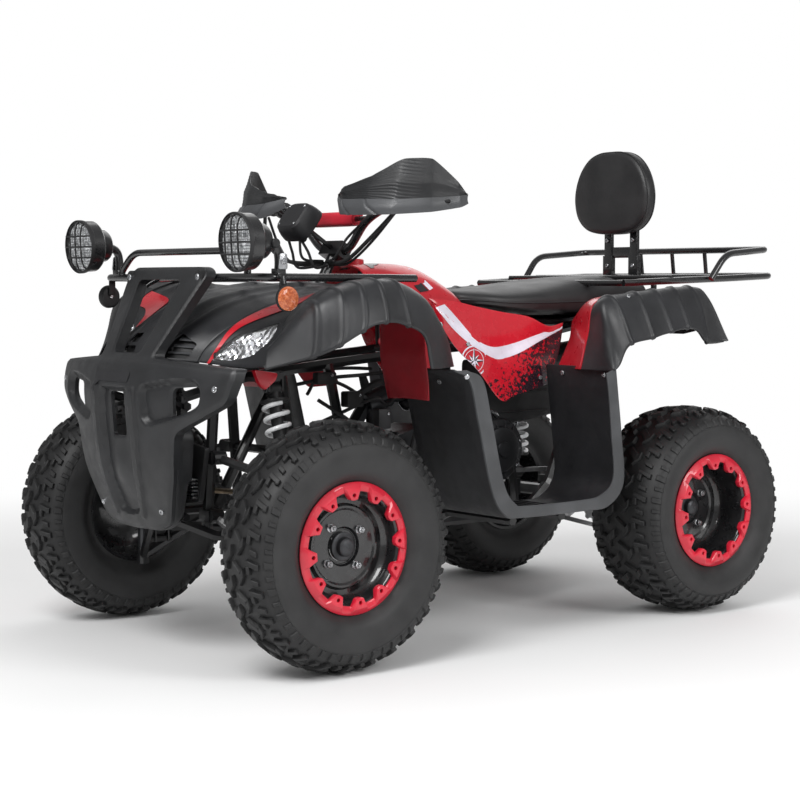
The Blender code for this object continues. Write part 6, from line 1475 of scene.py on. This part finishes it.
def racks():
    """The tube racks as smooth sweeps, with the signals hung from the front one."""
    rail = places(((0.36, 0.262, 0.905), (0.36, -0.094, 0.907)))
    hoop = places(((0.285, -0.094, 0.907), (0.285, -0.091, 0.925), (0.235, -0.088, 0.97)))

    def across(route):
        return rounded(np.concatenate([route, route[::-1] * MIRROR]), 0.035, 6, closed=False)

    pieces = [swept("rail", across(rail), 0.0095, "tube", 14), swept("hoop", across(hoop), 0.0085, "tube", 14)]
    bars = []
    for y, z in ((0.262, 0.905), (0.14, 0.9055), (0.02, 0.906)):
        ends = places(((0.36, y, z), (-0.36, y, z)))
        bars.append(swept("bar", ends, 0.0085 if y > 0.2 else 0.006, "tube", 12))
    stay = places(((0.346, 0.13, 0.903), (0.346, 0.13, 0.889)))
    tongue = places(((0.10, -0.094, 0.907), (0.10, -0.120, 0.893), (0.10, -0.128, 0.886)))
    signal = place(0.402, -0.069, 0.858)
    hanger = rounded(oblong(signal[1] - 0.009, signal[1] + 0.009, 0.862, 0.903), 0.003)
    arm = places(((0.36, -0.069, 0.9065), (0.388, -0.069, 0.9055), (0.388, -0.069, 0.892)))
    halfway = [swept("stay", stay, 0.009, "tube", 12), swept("tongue", tongue, 0.0085, "tube", 12),
               blocky(hanger, 0.384, 0.3875, 0, 0.0006, "soft_black"), swept("arm", arm, 0.0055, "tube", 10)]
    cup = [(-0.0118, 0.012), (-0.0105, 0.024), (-0.004, 0.0295), (0.003, 0.0300), (0.004, 0.0285),
           (0.004, AXIS), (-0.0118, AXIS)]
    halfway.append(turned("cup", cup, "soft_black", tuple(signal), 0, 40))
    lens = [(0.0035, 0.0282), (0.0070, 0.0275), (0.0100, 0.0235), (0.0112, 0.014), (0.0118, AXIS), (0.0035, AXIS)]
    amber = Finish("signal_lens", (0.62, 0.13, 0.05), 0.12, coat=0.9)
    _, y, z = amber.where()
    aside, up = y - float(signal[1]), z - float(signal[2])
    rings = ((aside * aside + up * up).root() * 2100.0).sine()
    amber.set("Normal", amber.bump(rings, 0.0012, 0.8))
    share = amber.band(amber.noise(160.0), 0.4, 0.6)
    amber.set("Base Color", amber.mix((0.52, 0.10, 0.03), (0.72, 0.20, 0.07), share))
    halfway.append(turned("lens", lens, amber, tuple(signal), 0, 40))
    halfway.append(bolt(signal - [0.0112, 0, 0], (-1, 0, 0), 0.005, 0.003))
    seat_plate = rounded(oblong(0.346, 0.374, -0.758, -0.732), 0.004)
    halfway.append(blocky(seat_plate, 0.9065, 0.9172, 2, 0.001, "tube"))
    left = merged("half", halfway)
    worn(merged("fine_rack_front", pieces + bars + [left, mirrored(left, "twin")]), "root", "tube", "rack_front")

    back_y = 0.98525 - 0.0095
    base = places(((0.297, 0.895, 0.894), (0.380, 1.18, 0.908), (0.380, 1.30, 0.915)))
    base[-1][1] = back_y
    raised = places(((0.380, 1.105, 0.905), (0.385, 1.15, 0.9755), (0.372, 1.30, 0.9905)))
    raised[-1][1] = back_y - 0.0095
    pieces = [swept("base", across(base), 0.0095, "tube", 14), swept("raised", across(raised), 0.0095, "tube", 14)]
    front = places(((0.297, 0.895, 0.894), (-0.297, 0.895, 0.894)))
    pieces.append(swept("front", front, 0.0085, "tube", 14))
    for y, radius in ((1.02, 0.006), (1.1345, 0.0090), (1.225, 0.006)):
        half = 0.380 if y > 1.17 else 0.297 + (y - 0.895) / 0.285 * 0.083
        pieces.append(swept("slat", places(((half, y, 0.9105), (-half, y, 0.9105))), radius, "tube", 12))
    for x in (-0.13, 0.0, 0.13):
        ends = [(x, back_y, base[-1][2]), (x, back_y - 0.0095, raised[-1][2])]
        pieces.append(swept("upright", ends, 0.006, "tube", 10))
    for x in (-0.10, 0.10):
        pieces.append(swept("stay", [place(x, 1.16, 0.8006), place(x, 1.16, 0.9105)], 0.009, "tube", 12))
        pieces.append(swept("runner", [place(x, 0.895, 0.8965), place(x, 1.30, 0.9115)], 0.0065, "tube", 12))
    post_y = float(place(0, 1.1345, 0)[1])
    for x in (0.052, -0.052):
        for half, low, high, thick in ((0.015, 0.9105, 1.05, 0.0055), (0.0185, 0.916, 0.975, 0.008)):
            strip = oblong(x - half, x + half, low, high)
            pieces.append(blocky(strip, post_y - thick, post_y + thick, 1, 0.0015, "tube"))
        for z in (0.945, 1.02):
            pieces.append(bolt((x, post_y - 0.0075, z), (0, -1, 0), 0.0065, 0.004))
            pieces.append(bolt((x, post_y + 0.0075, z), (0, 1, 0), 0.0065, 0.004))
    pieces.append(blocky(oblong(-0.052, 0.052, 0.968, 1.0), post_y - 0.003, post_y + 0.003, 1, 0.001, "tube"))
    worn(merged("fine_rack_rear", pieces), "root", "tube", "rack_rear")


# Springs and engine.

def coil_over(name, top, bottom, turns=9):
    """A coil-over damper: a chrome rod, a dark body with two seats and eyes, and the spring, a
    helix that swings from the side seen nearest along the damper's length."""
    top, bottom = np.asarray(top, float), np.asarray(bottom, float)
    line = bottom - top
    length = float(np.linalg.norm(line))
    way = line / length
    aside = np.cross(way, [0, 1, 0])
    aside /= np.linalg.norm(aside)
    across = np.cross(way, aside)
    upper, lower = length * 0.075, length * 0.84
    t = np.linspace(0, 1, turns * 20 + 1)
    angle = t * turns * 2 * math.pi
    rise = upper + 0.006 + (lower - upper - 0.012) * (t + 0.03 * np.sin(2 * math.pi * t) * -1)
    coil = top + way * rise[:, None] + (aside * np.cos(angle)[:, None] + across * np.sin(angle)[:, None]) * 0.0280
    pieces = [swept("coil", coil, 0.0056, "spring", 10)]
    for low, high, radius, finish in ((0.0, 0.55, 0.015, "soft_black"), (0.5, 1.0, 0.007, "zinc")):
        pieces.append(swept("rod", [top + line * low, top + line * high], radius, finish, 16))
    for at in (upper, lower):
        seat_ring = [(-0.005, 0.0335), (0.001, 0.0345), (0.004, 0.031), (0.004, 0.012), (-0.005, 0.012)]
        pieces.append(laid(turned("seat", seat_ring, "soft_black", axis=2, steps=28), top + way * at, way))
    for spot in (top, bottom):
        eye = [(-0.017, 0.008), (-0.017, 0.0125), (-0.013, 0.0165), (0.013, 0.0165), (0.017, 0.0125), (0.017, 0.008)]
        pieces.append(turned("eye", eye, "soft_black", tuple(spot), 1, 20))
        pin = [(-0.0235, 0.006), (-0.0235, 0.0085), (-0.018, 0.0085), (-0.018, 0.006),
               (0.018, 0.006), (0.018, 0.0085), (0.0235, 0.0085), (0.0235, 0.006)]
        pieces.append(turned("pin", pin, "zinc", tuple(spot), 1, 6, smooth=20))
    return merged(name, pieces)


def springs():
    """The dampers, from the frame's mounts to the middles of the CAD boxes' lower eyes."""
    low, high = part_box("shock_front_left")
    top = place(0.222, 0.0, 0.640)
    bottom = np.array([high[0] - 0.017, FRONT_AXLE_Y, low[2] + 0.017])
    pair(coil_over("coil", top, bottom), "fine_shock_front_{}", "root", "spring", "shock_front_{}")
    low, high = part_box("shock_rear")
    top = place(0.0, 0.80, 0.675)
    worn(coil_over("fine_shock_rear", top, (0.0, low[1] + 0.017, low[2] + 0.017)), "root", "spring", "shock_rear")


def engine_dress():
    """What hangs on the engine: the ribbed round cover with its bolts, the carburettor and its
    hoses, the coil, looms and the cooler with bright fins at the front."""
    pieces = []
    for spot, wide in ((place(0.155, 0.56, 0.449), 0.070), (place(0.152, 0.640, 0.445), 0.086)):
        far = wide - 0.010
        cover = [(-0.050, wide - 0.010), (-0.018, wide), (-0.010, wide), (-0.004, wide - 0.005), (0.0, far - 0.012),
                 (0.008, far - 0.016), (0.011, far - 0.022), (0.012, 0.026), (0.012, 0.022), (0.017, 0.020),
                 (0.018, 0.010), (0.018, AXIS), (-0.050, AXIS)]
        pieces.append(turned("cover", cover, "case", tuple(spot), 0, 64, smooth=25))
        for index in range(7):
            a = math.radians(360 / 7 * index + 15)
            at = spot + [-0.006, far * math.cos(a), far * math.sin(a)]
            pieces.append(swept("lug", [at - [0.020, 0, 0], at + [0.002, 0, 0]], 0.0085, "case", 14))
            shine = "zinc" if index % 3 == 0 else "soft_black"
            pieces.append(bolt(at + [0.002, 0, 0], (1, 0, 0), 0.0050, 0.0040, shine))
        for index in range(14):
            a = math.radians(360 / 14 * index)
            inner = spot + [0.006, (far - 0.018) * math.cos(a), (far - 0.018) * math.sin(a)]
            outer = spot + [-0.008, (wide - 0.004) * math.cos(a), (wide - 0.004) * math.sin(a)]
            pieces.append(swept("rib", [inner, outer], 0.0024, "case", 8))
    box = []
    for share in np.linspace(0, 1, 9):
        swell = 1 - 0.10 * abs(2 * share - 1) ** 4
        y = 0.085 + 0.265 * share
        low, high = 0.49 + 0.03 * share, 0.690 - 0.015 * share
        corners = rounded([(0.045, low), (0.045 + 0.095 * swell, low + 0.01),
                           (0.045 + 0.100 * swell, high - 0.02), (0.045, high)], 0.022, 5)
        box.append(np.insert(corners, 1, y, axis=1))
    pieces.append(closed_loft("airbox", box, "soft_black", 45))
    for z in (0.545, 0.60, 0.645):
        fold = [(0.1425, 0.12, z), (0.1445, 0.21, z), (0.1425, 0.31, z)]
        pieces.append(swept("fold", fold, 0.0028, "soft_black", 8))
    pipe = catmull([(0.125, -0.02, 0.535), (0.150, 0.04, 0.560), (0.150, 0.11, 0.545), (0.125, 0.15, 0.52)], 8)
    pieces.append(swept("pipe", pipe, 0.0055, "zinc", 10))
    carb = places(((0.052, 0.33, 0.578), (0.060, 0.385, 0.60)))
    pieces.append(swept("carburettor", carb, [0.030, 0.030], "cast", 18))
    bowl = carb[0] + np.array([(0.01, 0.02, -0.01), (0.01, 0.02, -0.06)])
    pieces.append(swept("bowl", bowl, [0.024, 0.019], "cast", 18))
    choke = carb[0] + np.array([(0, 0.01, 0.02), (0, -0.01, 0.075)])
    pieces.append(swept("choke", choke, [0.015, 0.010], "soft_black", 14))
    clamp = [(-0.006, 0.0415), (-0.006, 0.0435), (0.006, 0.0435), (0.006, 0.0415)]
    pieces.append(turned("clamp", clamp, "zinc", tuple(place(0.078, 0.43, 0.600)), 1, 32))
    ring_spot = (0.120, -0.128, 0.580)
    ring = [(-0.008, 0.0160), (-0.008, 0.0185), (0.008, 0.0185), (0.008, 0.0160)]
    pieces.append(turned("ring", ring, "zinc", ring_spot, 0, 28))
    hose = [(-0.040, 0.0155), (0.004, 0.0155), (0.006, 0.013), (0.000, 0.012), (-0.040, 0.012)]
    pieces.append(turned("hose", hose, "rubber_trim", ring_spot, 0, 24))
    copper = [(0.118, -0.115, 0.545), (0.126, -0.098, 0.552), (0.130, -0.100, 0.566)]
    pieces.append(swept("copper", copper, 0.006, "bronze", 10))
    loom = np.array([(0.09, -0.50, 0.64), (0.12, -0.42, 0.655), (0.13, -0.32, 0.66), (0.11, -0.20, 0.665),
                     (0.12, -0.10, 0.66)])
    hoses = (((0.10, -0.33, 0.60), (0.13, -0.27, 0.64), (0.12, -0.20, 0.62), (0.125, -0.15, 0.585)),
             ((0.03, -0.40, 0.53), (0.12, -0.40, 0.56), (0.15, -0.30, 0.60), (0.10, -0.22, 0.58),
              (0.09, -0.16, 0.62)),
             ((0.11, -0.45, 0.60), (0.14, -0.38, 0.55), (0.13, -0.30, 0.50), (0.09, -0.24, 0.48)),
             loom,
             ((0.12, -0.52, 0.38), (0.14, -0.42, 0.36), (0.15, -0.28, 0.37), (0.13, -0.18, 0.42),
              (0.10, -0.12, 0.50)),
             ((-0.10, -0.33, 0.60), (-0.13, -0.27, 0.64), (-0.12, -0.20, 0.62), (-0.09, -0.15, 0.585)),
             loom * MIRROR,
             ((0.14, -0.10, 0.40), (0.155, -0.04, 0.37), (0.16, 0.06, 0.36), (0.14, 0.14, 0.34)))
    for index, route in enumerate(hoses):
        pieces.append(swept("hose", catmull(route, 9), 0.0085 if index in (0, 4) else 0.0048, "rubber_trim", 10))
    for centre, size, finish in (((0.135, -0.36, 0.60), (0.030, 0.052, 0.040), "soft_black"),
                                 ((0.13, -0.26, 0.545), (0.026, 0.040, 0.052), "dark"),
                                 ((0.125, -0.44, 0.655), (0.022, 0.060, 0.030), "soft_black"),
                                 ((0.11, -0.20, 0.66), (0.034, 0.044, 0.034), "cast")):
        c, s = np.array(centre), np.array(size) / 2
        box = rounded(oblong(c[1] - s[1], c[1] + s[1], c[2] - s[2], c[2] + s[2]), 0.006)
        pieces.append(blocky(box, c[0] - s[0], c[0] + s[0], 0, 0.002, finish))
        pieces.append(bolt(c + [s[0], s[1] * 0.5, s[2] * 0.5], (1, 0, 0), 0.004, 0.003))
    frame_plate = rounded([(0.088, 0.365), (0.158, 0.375), (0.185, 0.505), (0.105, 0.515)], 0.008)
    pieces.append(blocky(frame_plate, -0.835, -0.822, 1, 0.002, "soft_black"))
    for index in range(6):
        z = 0.383 + 0.0085 * index
        pieces.append(coated(prism(rounded(oblong(0.100, 0.152, z, z + 0.0045), 0.001), -0.852, -0.834), "zinc"))
    worn(merged("engine_dress", pieces), "root", "cast")


bumper()
spot_lamps()
racks()
springs()
engine_dress()


# The CAD nodes that stay, each in its finish.

KEPT = {"rear_axle": "steel", "drive_chain": "steel", "swingarm": "frame", "frame": "frame",
        "steering_stem": "frame", "engine": "case", "exhaust": "exhaust"}
for side in ("left", "right"):
    KEPT.update({f"arm_upper_{side}": "frame", f"arm_lower_{side}": "frame",
                 f"knuckle_{side}": "cast", f"tie_rod_{side}": "bronze"})
for name, finish in KEPT.items():
    coated(NODES[name], finish)


# The studio.

def studio():
    """A white room: pale light from all round, a large soft lamp up in front and one behind."""
    world = bpy.data.worlds.new("studio")
    bpy.context.scene.world = world
    world.use_nodes = True
    tree = world.node_tree
    paths = tree.nodes.new("ShaderNodeLightPath")
    seen = tree.nodes.new("ShaderNodeMath")
    seen.operation = "MAXIMUM"
    tree.links.new(paths.outputs["Is Camera Ray"], seen.inputs[0])
    tree.links.new(paths.outputs["Is Transmission Ray"], seen.inputs[1])
    around = tree.nodes.new("ShaderNodeMapRange")
    around.inputs[3].default_value = 0.52
    around.inputs[4].default_value = 0.30
    tree.links.new(paths.outputs["Is Glossy Ray"], around.inputs[0])
    strength = tree.nodes.new("ShaderNodeMapRange")
    tree.links.new(around.outputs[0], strength.inputs[3])
    strength.inputs[4].default_value = 1.0
    tree.links.new(seen.outputs[0], strength.inputs[0])
    background = tree.nodes["Background"]
    background.inputs[0].default_value = (1.0, 1.0, 1.0, 1.0)
    tree.links.new(strength.outputs[0], background.inputs[1])
    for name, spot, aim, size, power in (
            ("key", (1.6, -3.6, 4.2), (0.0, -0.2, 0.4), 2.4, 190.0),
            ("side", (4.6, 0.6, 2.8), (0.0, 0.1, 0.5), 1.8, 90.0),
            ("back", (-2.4, 3.2, 3.4), (0.0, 0.2, 0.6), 4.2, 60.0)):
        light = bpy.data.lights.new(name, "AREA")
        light.energy = power
        light.size = size
        lamp = bpy.data.objects.new(name, light)
        lamp.location = spot
        lamp.rotation_euler = (Vector(aim) - Vector(spot)).to_track_quat("-Z", "Y").to_euler()
        bpy.context.scene.collection.objects.link(lamp)


def floor():
    """A pale disc of floor: a grid of rings whose paint turns into plain white further out."""
    finish = Finish("floor_paint", (0.86, 0.86, 0.86), 0.75)
    x, y, _ = finish.where()
    far = finish.band((x * x + y * y).root(), 1.5, 3.4)
    shade = finish.band(finish.noise(1.2, 2.0), 0.3, 0.7)
    finish.set("Base Color", finish.mix((0.85, 0.85, 0.85), (0.87, 0.87, 0.87), shade))
    glow = finish.put("ShaderNodeEmission", inputs={"Color": (1, 1, 1, 1), "Strength": 1.0})
    seen = finish.put("ShaderNodeLightPath")
    both = finish.put("ShaderNodeMixShader", inputs={0: far * seen, 2: glow})
    finish.tree.links.new(finish.shader.outputs[0], both.socket.node.inputs[1])
    finish.tree.links.new(both.socket, finish.tree.nodes["Material Output"].inputs[0])
    radius = np.linspace(0.02, 30.0, 24)
    angle = np.linspace(0, 2 * math.pi, 64, endpoint=False)
    grid = np.stack([radius[:, None] * np.cos(angle), radius[:, None] * np.sin(angle),
                     np.full((24, 64), -0.0005)], 2)
    faces = grid_faces(24, 64, False, True).tolist() + [list(range(64))]
    plane = made("floor", grid.reshape(-1, 3), faces, finish)
    if plane.data.polygons[0].normal.z < 0:
        plane.data.flip_normals()


def camera():
    """The photo's view, from the front left at the height of the seat."""
    data = bpy.data.cameras.new("camera")
    data.lens = 81.97
    data.sensor_width = 36.0
    data.shift_x = 0.0036
    data.shift_y = -0.0041
    data.dof.use_dof = False
    obj = bpy.data.objects.new("camera", data)
    obj.location = (3.7972, -3.16545, 0.8935)
    obj.rotation_euler = (math.radians(90 - 3.569), 0.0, math.radians(51.134))
    bpy.context.scene.collection.objects.link(obj)
    bpy.context.scene.camera = obj


studio()
floor()
camera()
bpy.context.scene.view_settings.view_transform = "Standard"

bpy.context.view_layer.update()
